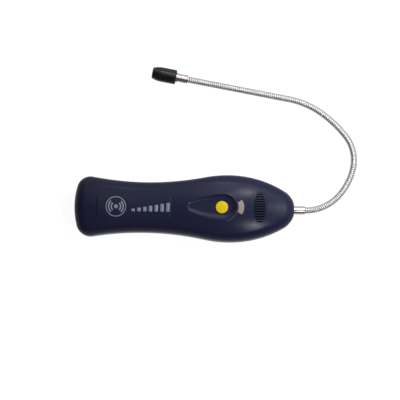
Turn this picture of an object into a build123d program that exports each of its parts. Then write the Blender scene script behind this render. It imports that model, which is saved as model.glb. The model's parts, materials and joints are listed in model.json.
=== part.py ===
from build123d import *

import os
from math import cos, hypot, radians, sin, sqrt

# Hand-held hydrogen leak detector, lying on its back.
# X runs along the body towards the root of the flexible neck and Z points out of the
# face. The origin is on the resting plane, under the middle of the body. Millimetres.

# Plan of the body: arcs that run into one another, mirrored about the X axis
BODY_BACK = 105.8
NOSE_TIP_X = 104.83
HEAD_HALF = 31.8
FRONT_R = 104.0
NOSE_R = 20.0
NOSE_FLAT_X = 104.0
REAR_R = 119.5
WAIST_X = -38.0
WAIST_HALF = 23.9
CORNER_R = 13.0
END_R = 80.0

# Side view of the body: height of the crowned face at stations along X
CROWN = (
    (-112.0, 31.0),
    (-85.0, 35.5),
    (-38.0, 34.5),
    (5.0, 38.0),
    (42.0, 41.0),
    (78.0, 38.0),
    (112.0, 29.0),
)
CROWN_R = 62.0
CROWN_HALF = 40.0
TALLEST = 50.0
SAME = 0.01
FACE_EDGE_R = 12.0
BACK_EDGE_R = 8.0

# Moulded halves
WALL = 2.2
PARTING_Z = 17.5
LIP_HEIGHT = 1.5
LIP_WALL = 1.0
LIP_GAP = 0.1

# Finger recess, button and lens window in the face
RECESS_X = 36.3
RECESS_R = 13.3
RECESS_DEPTH = 3.9
RECESS_SIDE_R = 97.0
RECESS_TIP_R = 9.5
RECESS_FLOOR = 36.9
RECESS_FOOT_R = 9.0
RECESS_PAN = 2.0
BUTTON_X = 35.05
BUTTON_D = 11.5
BUTTON_GAP = 0.2
BUTTON_TRAVEL = 0.8
BUTTON_PROUD = 1.1
BUTTON_DOME = 0.7
BUTTON_FLANGE = 1.3
BUTTON_FLANGE_H = 1.2
LENS_WEB = 1.1
LENS_TIP_X = 53.7
LENS_TIP_Y = 6.9
LENS_FRONT_X = 56.05
LENS_CORNER_Y = 4.4
LENS_EDGE_R = 0.6
LENS_GAP = 0.12
LENS_FLANGE = 1.0
LENS_FOOT_Z = 36.6

# Sounder grille
GRILLE_X = 70.75
GRILLE_SLOTS = 12
GRILLE_PITCH = 2.35
GRILLE_SLOT = 1.2
GRILLE_MIDDLE = 12.0
GRILLE_BARREL_R = 31.0
GRILLE_BORDER = 1.3
GRILLE_CORNER = 4.0
GRILLE_DEPTH = 0.5

# Screws through the halves, from the back
SCREW_SPOTS = ((-88.0, 21.5), (24.0, 20.0), (82.0, 12.0))
SCREW_D = 2.5
SCREW_HEAD_D = 5.2
SCREW_HEAD_H = 1.9
SCREW_LENGTH = 14.0
SCREW_SEAT_Z = 9.0
SCREW_GAP = 0.2
BOSS_D = 6.4
LOWER_BOSS_D = 8.0
CROSS_SLOT = 0.7
CROSS_SPAN = 3.12
PILOT_SPARE = 1.0

# Four AA cells in two rows, in a tray open to the back
CELL_D = 14.3
CELL_LENGTH = 50.5
NUB_D = 5.4
NUB_LENGTH = 1.3
CELL_EDGE_R = 0.6
ROW_GAP = 0.5
CELL_GAP = 0.25
SPRING_LENGTH = 5.8
SPRING_WIRE = 0.7
SPRING_TURNS = 4
SPRING_D = 8.0
PLATE = 0.4
TRAY_WALL = 1.2
TRAY_SEAT = 1.0
TRAY_FRONT = 10.8
LEAD_D = 1.4
LEAD_Y = 4.0
LEAD_DROP = 0.8
PLATE_SIDE_GAP = 0.8
PLATE_SPLIT_Y = 1.0
PLATE_FOOT_Z = 6.0

# Sliding battery cover and its rails
COVER_FRONT = 12.0
COVER_HALF = 15.0
COVER_GAP = 0.15
COVER_END_RISE = 11.0
TONGUE = 1.4
TONGUE_REACH = 1.55
TONGUE_BACK = -94.0
RAIL_WALL = 1.2
GRIP_GROOVES = 6
GRIP_PITCH = 2.4
GRIP_WIDTH = 1.0
GRIP_DEPTH = 0.6
GRIP_LENGTH = 16.0
GRIP_X = -78.0

# Circuit board and what stands on it
BOARD = 1.6
BOARD_Z = 22.0
BOARD_BACK = 16.0
BOARD_STEP_X = 28.0
BOARD_TAPER_X = 64.0
BOARD_SHOULDER_X = 77.0
BOARD_FRONT = 87.0
BOARD_HALF = 23.5
BOARD_BACK_HALF = 16.0
BOARD_SHOULDER_HALF = 18.0
BOARD_FRONT_HALF = 8.2
BOARD_SPOTS = ((33.0, 19.5), (66.0, 16.0))
BOARD_BOSS_D = 5.0
BOARD_HOLE_D = 2.4
BOARD_SCREW_D = 1.9
BOARD_SCREW_HEAD_D = 3.8
BOARD_SCREW_HEAD_H = 1.3
BOARD_SCREW_LENGTH = 6.0
SWITCH = 6.0
SWITCH_H = 3.5
SWITCH_FLOOR = 0.5
PLUNGER_D = 3.5
PLUNGER_TOP = 6.0
PLUNGER_GAP = 0.1
LED_X = 53.4
LED_Y = 2.6
LED_SIZE = (3.5, 2.8, 1.9)
SOUNDER_D = 20.0
SOUNDER_H = 8.0
SOUNDER_PORT_D = 4.0
SOUNDER_PORT = 1.0
SOUNDER_EDGE_R = 0.6
CHIP_X = 46.0
CHIP_Y = -14.5
CHIP = 10.0
CHIP_H = 1.4
CHIP_LEADS = 11
CHIP_LEAD_PITCH = 0.8
CHIP_LEAD_REACH = 1.0
CHIP_LEAD = 0.3
CAPACITOR_D = 5.0
CAPACITOR_H = 7.0
CAPACITOR_SPOTS = ((52.0, 14.0), (58.5, 14.0))
COIL_SPOT = (42.5, 13.5)
COIL = 6.0
COIL_H = 3.0
SMALL_PART = (2.0, 1.25, 0.6)
SMALL_PART_SPOTS = ((24.0, 0.0), (58.0, -12.0))
SMALL_PART_PITCH = 3.2
SMALL_PART_GRID = (3, 2)
CONNECTOR_H = 7.0
BATTERY_CONNECTOR_X = 18.0
BATTERY_CONNECTOR = (7.0, 12.0)
SENSOR_CONNECTOR_X = 80.0
SENSOR_CONNECTOR = (7.0, 10.0)

# Base ferrule, clamped in the nose by a washer and a nut
NECK_Z = PARTING_Z
FERRULE_D = 8.0
FERRULE_END_X = 115.0
SHANK_D = 6.2
SHANK_BACK_X = 92.0
SHANK_GAP = 0.05
COLLAR_D = 14.0
COLLAR_BACK_X = 97.0
WASHER = 0.6
WASHER_D = 11.0
NUT = 3.0
NUT_FLATS = 9.0
FERRULE_BORE = 3.4
FERRULE_EDGE = 0.4

# Flexible neck: sections of one length, each bent by its own turn to the left
NECK_D = 6.3
NECK_BORE = 3.4
NECK_SECTION = 33.3
NECK_TURNS = (45.0, 33.0, 51.0, 17.0, 24.0, 0.0, 0.0, 0.0)
NECK_SEAT = 5.0
NECK_SEAT_GAP = 0.05
RIM = 1.1
BALL_R = 3.05
BALL_REACH = 1.5
BALL_GAP = 0.1
BALL_FLARE = 18.0
CABLE_D = 2.2
CABLE_END = 16.2

# Tip: ferrule with a flange, sensor holder, sensor and pull-off hood
TIP_FERRULE = 9.4
TIP_FLANGE = 1.4
TIP_FLANGE_D = 9.2
TIP_STUB = 4.0
TIP_STUB_D = 6.0
TIP_GAP = 0.1
HOLDER_D = 8.6
HOLDER = 8.0
SENSOR_D = 7.6
SENSOR = 6.5
SENSOR_BASE = 0.8
SENSOR_BASE_D = 8.4
SENSOR_FACE_D = 5.6
SENSOR_FACE = 0.6
PIN_D = 0.5
PIN_RING = 3.4
PIN_LENGTH = 2.4
PIN_GAP = 0.1
HOLDER_CAVITY_D = 5.0
HOLDER_WEB = 2.0
HOOD_START = 0.3
HOOD = 23.3
HOOD_D = 14.1
HOOD_TIP_D = 10.2
HOOD_STRAIGHT = 13.8
HOOD_BORE_GAP = 0.05
HOOD_BORE = 18.0
HOOD_MOUTH_D = 4.0
HOOD_EDGE = 0.7

os.makedirs("parts", exist_ok=True)


def along(origin, target, distance):
    """Return the point at a distance from origin on the line towards target."""
    dx = target[0] - origin[0]
    dy = target[1] - origin[1]
    scale = distance / hypot(dx, dy)
    return (origin[0] + dx * scale, origin[1] + dy * scale)


def arc_about(center, start, end):
    """Draw the short arc from start to end whose centre is given."""
    radius = hypot(start[0] - center[0], start[1] - center[1])
    middle = ((start[0] + end[0]) / 2, (start[1] + end[1]) / 2)
    ThreePointArc(start, along(center, middle, radius), end)


def circles_meet(center_a, radius_a, center_b, radius_b):
    """Return where two circles cross, on the left of the line from a to b."""
    dx = center_b[0] - center_a[0]
    dy = center_b[1] - center_a[1]
    gap = hypot(dx, dy)
    reach = (radius_a**2 - radius_b**2 + gap**2) / (2 * gap)
    side = sqrt(radius_a**2 - reach**2)
    foot = along(center_a, center_b, reach)
    return (foot[0] - side * dy / gap, foot[1] + side * dx / gap)


# Centres of the plan's arcs, each placed so that it touches its neighbours
nose_center = (NOSE_TIP_X - NOSE_R, 0.0)
head_x = nose_center[0] - sqrt((FRONT_R - NOSE_R) ** 2 - (FRONT_R - HEAD_HALF) ** 2)
front_center = (head_x, HEAD_HALF - FRONT_R)
rear_center = (head_x, HEAD_HALF - REAR_R)
narrowing = HEAD_HALF - WAIST_HALF
waist_r = ((head_x - WAIST_X) ** 2 + (REAR_R - narrowing) ** 2 - REAR_R**2) / (
    2 * narrowing
)
waist_center = (WAIST_X, WAIST_HALF + waist_r)
end_center = (END_R - BODY_BACK, 0.0)
corner_center = circles_meet(
    end_center, END_R - CORNER_R, waist_center, waist_r + CORNER_R
)


def plan_outline(inset):
    """Draw the body's plan, moved inwards by inset."""
    tail = (inset - BODY_BACK, 0.0)
    end_joint = along(end_center, corner_center, END_R - inset)
    corner_joint = along(corner_center, waist_center, CORNER_R - inset)
    waist_joint = along(rear_center, waist_center, REAR_R - inset)
    widest = (head_x, HEAD_HALF - inset)
    front_joint = along(front_center, nose_center, FRONT_R - inset)
    apex = (NOSE_TIP_X - inset, 0.0)
    arc_about(end_center, tail, end_joint)
    arc_about(corner_center, end_joint, corner_joint)
    arc_about(waist_center, corner_joint, waist_joint)
    arc_about(rear_center, waist_joint, widest)
    arc_about(front_center, widest, front_joint)
    arc_about(nose_center, front_joint, apex)
    mirror(about=Plane.XZ)


def crown_section(height, radius):
    """Draw one cross-section of the space under the crowned face."""
    shoulder = height - radius + sqrt(radius**2 - CROWN_HALF**2)
    Polyline(
        (-CROWN_HALF, shoulder),
        (-CROWN_HALF, 0),
        (CROWN_HALF, 0),
        (CROWN_HALF, shoulder),
    )
    ThreePointArc((CROWN_HALF, shoulder), (0, height), (-CROWN_HALF, shoulder))


def body_form(inset):
    """Return the body's solid form, moved inwards on every side by inset."""
    with BuildPart() as form:
        with BuildSketch(Plane.XY.offset(inset)):
            with BuildLine():
                plan_outline(inset)
            make_face()
        extrude(amount=TALLEST)
        for station, height in CROWN:
            with BuildSketch(Plane.YZ.offset(station)):
                with BuildLine():
                    crown_section(height - inset, CROWN_R - inset)
                make_face()
        loft(mode=Mode.INTERSECT)
        fillet(form.faces().sort_by(Axis.Z)[0].edges(), BACK_EDGE_R - inset)
        fillet(form.faces().sort_by(Axis.Z)[-1].edges(), FACE_EDGE_R - inset)
    return form.part


# The recess is a bowl: its rim lies where its rounded wall comes through the face
bowl_rise = RECESS_FOOT_R - RECESS_DEPTH
bowl_reach = sqrt(RECESS_FOOT_R**2 - bowl_rise**2)
bowl_r = RECESS_R + RECESS_FOOT_R - bowl_reach


def recess_outline(inset):
    """Draw the teardrop that bounds the finger recess, moved inwards by inset."""
    center = (RECESS_X, 0.0)
    side_center = (RECESS_X, bowl_r - RECESS_SIDE_R)
    tip_reach = RECESS_SIDE_R - RECESS_TIP_R
    tip_center = (RECESS_X - sqrt(tip_reach**2 - side_center[1] ** 2), 0.0)
    side_joint = along(side_center, tip_center, RECESS_SIDE_R - inset)
    tip = (tip_center[0] - RECESS_TIP_R + inset, 0.0)
    top = (RECESS_X, bowl_r - inset)
    arc_about(tip_center, tip, side_joint)
    arc_about(side_center, side_joint, top)
    arc_about(center, top, (RECESS_X + bowl_r - inset, 0.0))
    mirror(about=Plane.XZ)


def recess_block(grow):
    """Return the solid that fills the finger recess, grown on every side."""
    with BuildPart() as block:
        with BuildSketch(Plane.XY.offset(RECESS_FLOOR - grow)):
            with BuildLine():
                recess_outline(-grow)
            make_face()
        extrude(amount=TALLEST - RECESS_FLOOR)
        fillet(block.faces().sort_by(Axis.Z)[0].edges(), RECESS_FOOT_R + grow)
    return block.part


def lens_face(grow):
    """Return the crescent of the lens window, grown by the given amount."""
    inner_r = RECESS_R + LENS_WEB
    corner_x = RECESS_X + sqrt(inner_r**2 - LENS_CORNER_Y**2)
    tips = [(LENS_TIP_X, LENS_TIP_Y), (LENS_TIP_X, -LENS_TIP_Y)]
    corners = [(corner_x, LENS_CORNER_Y), (corner_x, -LENS_CORNER_Y)]
    with BuildSketch() as face:
        with BuildLine():
            Line(corners[0], tips[0])
            ThreePointArc(tips[0], (LENS_FRONT_X, 0), tips[1])
            Line(tips[1], corners[1])
            ThreePointArc(corners[1], (RECESS_X + inner_r, 0), corners[0])
        make_face()
        fillet(face.vertices(), LENS_EDGE_R)
        offset(amount=grow)
    return face.sketch


def mirrored_spots(spots):
    """Return the given spots and their mirror images across the X axis."""
    return [(x, side * y) for x, y in spots for side in (1, -1)]


def block(x0, x1, y0, y1, z0, z1, mode=Mode.ADD):
    """Add or cut a box given by its two corners."""
    with Locations(((x0 + x1) / 2, (y0 + y1) / 2, (z0 + z1) / 2)):
        Box(x1 - x0, y1 - y0, z1 - z0, mode=mode)


def posts(spots, diameter, z0, z1, mode=Mode.ADD):
    """Add or cut upright round posts between two heights."""
    with BuildSketch(Plane.XY.offset(z0)) as rings:
        with Locations(*spots):
            Circle(diameter / 2)
    extrude(rings.sketch, amount=z1 - z0, mode=mode)


def nose_rod(x0, x1, diameter, mode=Mode.ADD):
    """Add or cut a round rod on the neck's axis through the nose."""
    with BuildSketch(nose_plane(x0)) as ring:
        Circle(diameter / 2)
    extrude(ring.sketch, amount=x1 - x0, mode=mode)


def nose_plane(x):
    """Return the plane across the neck's axis at a station of the nose."""
    return Plane(origin=(x, 0, NECK_Z), x_dir=(0, 1, 0), z_dir=(1, 0, 0))


def slot_lengths():
    """Return the grille's slot centres across the face with their lengths."""
    rows = []
    for index in range(GRILLE_SLOTS):
        y = (index - (GRILLE_SLOTS - 1) / 2) * GRILLE_PITCH
        bulge = GRILLE_BARREL_R - sqrt(GRILLE_BARREL_R**2 - y**2)
        rows.append((y, GRILLE_MIDDLE - 2 * bulge))
    return rows


outer_form = body_form(0)
inner_form = body_form(WALL)
screw_spots = mirrored_spots(SCREW_SPOTS)
board_spots = mirrored_spots(BOARD_SPOTS)
board_top = BOARD_Z + BOARD
slots = slot_lengths()


def grille_pocket():
    """Return the shallow pocket round the grille, of one depth below the face."""
    half_width = slots[-1][0] + GRILLE_SLOT / 2 + GRILLE_BORDER
    with BuildPart() as pocket:
        with BuildSketch(Plane.XY.offset(board_top)) as border:
            with Locations((GRILLE_X, 0)):
                Rectangle(GRILLE_MIDDLE + 2 * GRILLE_BORDER, 2 * half_width)
            chamfer(border.vertices(), GRILLE_CORNER)
        extrude(amount=TALLEST - board_top)
        add(body_form(GRILLE_DEPTH), mode=Mode.SUBTRACT)
    return pocket.part


# Length that surely reaches past the nose
nose_reach = NOSE_FLAT_X + FRONT_R

# Heights and widths shared by the cover, its rails, the tray and the cells
tongue_top = WALL + COVER_GAP + TONGUE
rail_under = tongue_top + COVER_GAP
rail_top = rail_under + RAIL_WALL
rail_face = COVER_HALF + TONGUE_REACH + COVER_GAP
rail_edge = COVER_HALF + 2 * COVER_GAP
row_y = (CELL_D + ROW_GAP) / 2
cell_z = tongue_top + CELL_GAP + CELL_D / 2
tray_ceiling = cell_z + CELL_D / 2 + CELL_GAP
tray_half = row_y + CELL_D / 2 + CELL_GAP
plate_front = TRAY_FRONT - TRAY_WALL
plate_back = plate_front - 2 * CELL_LENGTH - SPRING_LENGTH - 2 * PLATE
plate_top = tray_ceiling - CELL_GAP
lead_z = plate_top - LEAD_DROP

# Upper housing: face half of the body
with BuildPart() as upper_housing:
    add(outer_form)
    add(inner_form, mode=Mode.SUBTRACT)
    add(recess_block(RECESS_PAN))
    posts(screw_spots, BOSS_D, PARTING_Z, TALLEST)
    posts(board_spots, BOARD_BOSS_D, board_top, TALLEST)
    nose_rod(COLLAR_BACK_X, NOSE_FLAT_X, COLLAR_D)
    add(outer_form, mode=Mode.INTERSECT)
    split(bisect_by=Plane.XY.offset(PARTING_Z), keep=Keep.TOP)
    block(NOSE_FLAT_X, nose_reach, -HEAD_HALF, HEAD_HALF, 0, TALLEST, Mode.SUBTRACT)

    # Room for the lower half's lip along the parting line
    with BuildSketch(Plane.XY.offset(PARTING_Z)):
        with BuildLine():
            plan_outline(WALL - LIP_WALL - LIP_GAP)
        make_face()
        with BuildLine():
            plan_outline(WALL)
        make_face(mode=Mode.SUBTRACT)
    extrude(amount=LIP_HEIGHT + LIP_GAP, mode=Mode.SUBTRACT)

    # Recess, button hole, lens window and grille
    add(recess_block(0), mode=Mode.SUBTRACT)
    posts([(BUTTON_X, 0)], BUTTON_D + 2 * BUTTON_GAP, BOARD_Z, TALLEST, Mode.SUBTRACT)
    with BuildSketch(Plane.XY.offset(board_top)):
        add(lens_face(LENS_GAP))
    extrude(amount=TALLEST - board_top, mode=Mode.SUBTRACT)
    add(grille_pocket(), mode=Mode.SUBTRACT)
    with BuildSketch(Plane.XY.offset(board_top)):
        for y, length in slots:
            with Locations((GRILLE_X, y)):
                SlotOverall(length, GRILLE_SLOT)
    extrude(amount=TALLEST - board_top, mode=Mode.SUBTRACT)

    # Pilot holes for the screws, and the hole for the ferrule's shank
    posts(screw_spots, SCREW_D, 0, SCREW_SEAT_Z + SCREW_LENGTH + PILOT_SPARE, Mode.SUBTRACT)
    posts(
        board_spots,
        BOARD_SCREW_D,
        0,
        BOARD_Z + BOARD_SCREW_LENGTH + PILOT_SPARE,
        Mode.SUBTRACT,
    )
    nose_rod(SHANK_BACK_X, BODY_BACK, SHANK_D + 2 * SHANK_GAP, Mode.SUBTRACT)
upper_housing.part.label = "upper_housing"
export_step(upper_housing.part, "parts/upper_housing.step")

# Lower housing: back half, with the rails and the opening for the battery cover
with BuildPart() as lower_housing:
    add(outer_form)
    add(inner_form, mode=Mode.SUBTRACT)
    posts(screw_spots, LOWER_BOSS_D, 0, PARTING_Z)
    nose_rod(COLLAR_BACK_X, NOSE_FLAT_X, COLLAR_D)
    for side in (1, -1):
        web = sorted((side * rail_face, side * (rail_face + RAIL_WALL)))
        flange = sorted((side * rail_edge, side * (rail_face + RAIL_WALL)))
        block(TONGUE_BACK, COVER_FRONT + RAIL_WALL, *web, 0, rail_top)
        block(TONGUE_BACK, COVER_FRONT + RAIL_WALL, *flange, rail_under, rail_top)
    add(outer_form, mode=Mode.INTERSECT)
    split(bisect_by=Plane.XY.offset(PARTING_Z), keep=Keep.BOTTOM)

    # Lip that locates the upper half
    with BuildSketch(Plane.XY.offset(PARTING_Z)):
        with BuildLine():
            plan_outline(WALL - LIP_WALL)
        make_face()
        with BuildLine():
            plan_outline(WALL)
        make_face(mode=Mode.SUBTRACT)
    extrude(amount=LIP_HEIGHT)
    block(NOSE_FLAT_X, nose_reach, -HEAD_HALF, HEAD_HALF, 0, TALLEST, Mode.SUBTRACT)

    # Opening for the cells, with room for the cover's turned-up end
    opening_half = COVER_HALF + COVER_GAP
    opening_front = COVER_FRONT + COVER_GAP
    beyond = -BODY_BACK - 1
    block(beyond, opening_front, -opening_half, opening_half, -1, rail_under, Mode.SUBTRACT)
    block(
        beyond,
        TONGUE_BACK,
        -opening_half,
        opening_half,
        -1,
        COVER_END_RISE + COVER_GAP,
        Mode.SUBTRACT,
    )

    # Notches in the end wall, through which the cover's tongues leave
    block(beyond, TONGUE_BACK, -rail_face, rail_face, WALL, rail_under, Mode.SUBTRACT)
    posts(screw_spots, SCREW_HEAD_D + 2 * SCREW_GAP, -1, SCREW_SEAT_Z, Mode.SUBTRACT)
    posts(screw_spots, SCREW_D + 2 * SCREW_GAP, 0, TALLEST, Mode.SUBTRACT)
    nose_rod(SHANK_BACK_X, BODY_BACK, SHANK_D + 2 * SHANK_GAP, Mode.SUBTRACT)
lower_housing.part.label = "lower_housing"
export_step(lower_housing.part, "parts/lower_housing.step")

# Battery cover: skin of the back with a tongue along each side and grip grooves
with BuildPart() as battery_cover:
    add(outer_form)
    add(inner_form, mode=Mode.SUBTRACT)
    with Locations((COVER_FRONT, 0, 0)):
        Box(
            2 * BODY_BACK,
            2 * COVER_HALF,
            2 * COVER_END_RISE,
            align=(Align.MAX, Align.CENTER, Align.CENTER),
            mode=Mode.INTERSECT,
        )
    block(TONGUE_BACK, COVER_FRONT, -COVER_HALF, COVER_HALF, WALL / 2, tongue_top)
    tongue_half = COVER_HALF + TONGUE_REACH
    tongue_foot = WALL + COVER_GAP
    block(-BODY_BACK, COVER_FRONT, -tongue_half, tongue_half, tongue_foot, tongue_top)
    add(outer_form, mode=Mode.INTERSECT)
    for index in range(GRIP_GROOVES):
        x = GRIP_X + index * GRIP_PITCH
        block(
            x,
            x + GRIP_WIDTH,
            -GRIP_LENGTH / 2,
            GRIP_LENGTH / 2,
            -1,
            GRIP_DEPTH,
            Mode.SUBTRACT,
        )
battery_cover.part.label = "battery_cover"
export_step(battery_cover.part, "parts/battery_cover.step")

# Six screws, driven from the back
with BuildPart() as housing_screws:
    posts(screw_spots, SCREW_HEAD_D, SCREW_SEAT_Z - SCREW_HEAD_H, SCREW_SEAT_Z)
    posts(screw_spots, SCREW_D, SCREW_SEAT_Z, SCREW_SEAT_Z + SCREW_LENGTH)
    for x, y in screw_spots:
        with Locations((x, y, SCREW_SEAT_Z - SCREW_HEAD_H)):
            Box(CROSS_SPAN, CROSS_SLOT, SCREW_HEAD_H, mode=Mode.SUBTRACT)
            Box(CROSS_SLOT, CROSS_SPAN, SCREW_HEAD_H, mode=Mode.SUBTRACT)
housing_screws.part.label = "housing_screws"
export_step(housing_screws.part, "parts/housing_screws.step")

# Power button: domed cap, flange that keeps it in, and a stem down to the switch
with BuildPart() as power_button:
    button_spot = [(BUTTON_X, 0)]
    flange_top = RECESS_FLOOR - RECESS_PAN - PLUNGER_GAP
    button_top = RECESS_FLOOR + BUTTON_PROUD + BUTTON_DOME
    dome_r = ((BUTTON_D / 2) ** 2 + BUTTON_DOME**2) / (2 * BUTTON_DOME)
    posts(button_spot, BUTTON_D, flange_top - BUTTON_FLANGE_H, button_top)
    posts(
        button_spot,
        BUTTON_D + 2 * BUTTON_FLANGE,
        flange_top - BUTTON_FLANGE_H,
        flange_top,
    )
    posts(button_spot, PLUNGER_D, board_top + PLUNGER_TOP, flange_top)
    with Locations((BUTTON_X, 0, button_top - dome_r)):
        Sphere(dome_r, mode=Mode.INTERSECT)
power_button.part.label = "power_button"
export_step(power_button.part, "parts/power_button.step")

# Indicator lens: crescent window, flush with the face, on a flange below it
with BuildPart() as indicator_lens:
    with BuildSketch(Plane.XY.offset(LENS_FOOT_Z)):
        add(lens_face(LENS_FLANGE))
    extrude(amount=TALLEST - LENS_FOOT_Z)
    add(body_form(WALL + LENS_GAP), mode=Mode.INTERSECT)
    add(recess_block(RECESS_PAN + LENS_GAP), mode=Mode.SUBTRACT)
    with BuildSketch(Plane.XY.offset(LENS_FOOT_Z)):
        add(lens_face(0))
    extrude(amount=TALLEST - LENS_FOOT_Z)
    add(outer_form, mode=Mode.INTERSECT)
indicator_lens.part.label = "indicator_lens"
export_step(indicator_lens.part, "parts/indicator_lens.step")

# Circuit board, hung from four bosses of the upper housing
with BuildPart() as circuit_board:
    with BuildSketch(Plane.XY.offset(BOARD_Z)):
        with BuildLine():
            Polyline(
                (BOARD_BACK, 0),
                (BOARD_BACK, BOARD_BACK_HALF),
                (BOARD_STEP_X, BOARD_BACK_HALF),
                (BOARD_STEP_X, BOARD_HALF),
                (BOARD_TAPER_X, BOARD_HALF),
                (BOARD_SHOULDER_X, BOARD_SHOULDER_HALF),
                (BOARD_SHOULDER_X, BOARD_FRONT_HALF),
                (BOARD_FRONT, BOARD_FRONT_HALF),
                (BOARD_FRONT, 0),
            )
            mirror(about=Plane.XZ)
        make_face()
    extrude(amount=BOARD)
    posts(board_spots, BOARD_HOLE_D, BOARD_Z, board_top, Mode.SUBTRACT)
circuit_board.part.label = "circuit_board"
export_step(circuit_board.part, "parts/circuit_board.step")

# Board screws, driven from below
with BuildPart() as board_screws:
    posts(board_spots, BOARD_SCREW_HEAD_D, BOARD_Z - BOARD_SCREW_HEAD_H, BOARD_Z)
    posts(board_spots, BOARD_SCREW_D, BOARD_Z, BOARD_Z + BOARD_SCREW_LENGTH)
board_screws.part.label = "board_screws"
export_step(board_screws.part, "parts/board_screws.step")

# Push switch under the button, with its plunger
with BuildPart() as button_switch:
    block(
        BUTTON_X - SWITCH / 2,
        BUTTON_X + SWITCH / 2,
        -SWITCH / 2,
        SWITCH / 2,
        board_top,
        board_top + SWITCH_H,
    )
    posts(
        button_spot,
        PLUNGER_D + 2 * PLUNGER_GAP,
        board_top + SWITCH_FLOOR,
        board_top + SWITCH_H,
        Mode.SUBTRACT,
    )
button_switch.part.label = "button_switch"
export_step(button_switch.part, "parts/button_switch.step")

with BuildPart() as switch_plunger:
    plunger_foot = board_top + SWITCH_FLOOR + BUTTON_TRAVEL + 2 * PLUNGER_GAP
    posts(button_spot, PLUNGER_D, plunger_foot, board_top + PLUNGER_TOP)
switch_plunger.part.label = "switch_plunger"
export_step(switch_plunger.part, "parts/switch_plunger.step")

# Two lamps under the lens
with BuildPart() as status_leds:
    with Locations((LED_X, LED_Y, board_top), (LED_X, -LED_Y, board_top)):
        Box(*LED_SIZE, align=(Align.CENTER, Align.CENTER, Align.MIN))
status_leds.part.label = "status_leds"
export_step(status_leds.part, "parts/status_leds.step")

# Sounder under the grille
with BuildPart() as sounder:
    sounder_top = board_top + SOUNDER_H
    posts([(GRILLE_X, 0)], SOUNDER_D, board_top, sounder_top)
    fillet(sounder.edges().sort_by(Axis.Z)[-1], SOUNDER_EDGE_R)
    posts(
        [(GRILLE_X, 0)],
        SOUNDER_PORT_D,
        sounder_top - SOUNDER_PORT,
        sounder_top,
        Mode.SUBTRACT,
    )
sounder.part.label = "sounder"
export_step(sounder.part, "parts/sounder.step")

# Microcontroller with a row of leads on each side
with BuildPart() as microcontroller:
    lead_span = CHIP + 2 * CHIP_LEAD_REACH
    with Locations((CHIP_X, CHIP_Y, board_top)):
        Box(CHIP, CHIP, CHIP_H, align=(Align.CENTER, Align.CENTER, Align.MIN))
    for index in range(CHIP_LEADS):
        step = (index - (CHIP_LEADS - 1) / 2) * CHIP_LEAD_PITCH
        with Locations((CHIP_X, CHIP_Y + step, board_top)):
            Box(
                lead_span,
                CHIP_LEAD,
                CHIP_LEAD,
                align=(Align.CENTER, Align.CENTER, Align.MIN),
            )
        with Locations((CHIP_X + step, CHIP_Y, board_top)):
            Box(
                CHIP_LEAD,
                lead_span,
                CHIP_LEAD,
                align=(Align.CENTER, Align.CENTER, Align.MIN),
            )
microcontroller.part.label = "microcontroller"
export_step(microcontroller.part, "parts/microcontroller.step")

# Electrolytic capacitors
with BuildPart() as capacitors:
    posts(CAPACITOR_SPOTS, CAPACITOR_D, board_top, board_top + CAPACITOR_H)
capacitors.part.label = "capacitors"
export_step(capacitors.part, "parts/capacitors.step")

# Inductor: square core with rounded corners
with BuildPart() as inductor:
    with BuildSketch(Plane.XY.offset(board_top)):
        with Locations(COIL_SPOT):
            RectangleRounded(COIL, COIL, COIL / 5)
    extrude(amount=COIL_H)
inductor.part.label = "inductor"
export_step(inductor.part, "parts/inductor.step")

# Small resistors and capacitors, in two groups
with BuildPart() as chip_components:
    for x, y in SMALL_PART_SPOTS:
        with Locations((x, y, board_top)):
            with GridLocations(SMALL_PART_PITCH, SMALL_PART_PITCH, *SMALL_PART_GRID):
                Box(*SMALL_PART, align=(Align.CENTER, Align.CENTER, Align.MIN))
chip_components.part.label = "chip_components"
export_step(chip_components.part, "parts/chip_components.step")

# Connectors under the board, for the battery leads and for the sensor cable
with BuildPart() as battery_connector:
    length, width = BATTERY_CONNECTOR
    block(
        BATTERY_CONNECTOR_X,
        BATTERY_CONNECTOR_X + length,
        -width / 2,
        width / 2,
        BOARD_Z - CONNECTOR_H,
        BOARD_Z,
    )
battery_connector.part.label = "battery_connector"
export_step(battery_connector.part, "parts/battery_connector.step")

with BuildPart() as sensor_connector:
    length, width = SENSOR_CONNECTOR
    block(
        SENSOR_CONNECTOR_X - length,
        SENSOR_CONNECTOR_X,
        -width / 2,
        width / 2,
        BOARD_Z - CONNECTOR_H,
        BOARD_Z,
    )
sensor_connector.part.label = "sensor_connector"
export_step(sensor_connector.part, "parts/sensor_connector.step")

# Battery tray: moulded box, open towards the cover, that stands on the rails
with BuildPart() as battery_tray:
    tray_back = plate_back - TRAY_WALL
    outer = COVER_HALF + TRAY_SEAT
    ceiling_top = tray_ceiling + TRAY_WALL
    block(tray_back, TRAY_FRONT, -outer, outer, rail_top, ceiling_top)
    block(
        plate_back,
        plate_front,
        -tray_half,
        tray_half,
        rail_top,
        tray_ceiling,
        Mode.SUBTRACT,
    )
    for side in (1, -1):
        with BuildSketch(
            Plane(origin=(plate_front, side * LEAD_Y, lead_z), z_dir=(1, 0, 0))
        ) as lead_hole:
            Circle(LEAD_D / 2 + PLUNGER_GAP)
        extrude(lead_hole.sketch, amount=TRAY_WALL, mode=Mode.SUBTRACT)
battery_tray.part.label = "battery_tray"
export_step(battery_tray.part, "parts/battery_tray.step")

# Contact plates: one across the back, one for each row at the front
with BuildPart() as contact_plates:
    edge = tray_half - PLATE_SIDE_GAP
    inner_edge = PLATE_SPLIT_Y
    block(plate_back, plate_back + PLATE, -edge, edge, PLATE_FOOT_Z, plate_top)
    for y0, y1 in ((-edge, -inner_edge), (inner_edge, edge)):
        block(plate_front - PLATE, plate_front, y0, y1, PLATE_FOOT_Z, plate_top)
contact_plates.part.label = "contact_plates"
export_step(contact_plates.part, "parts/contact_plates.step")


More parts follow.
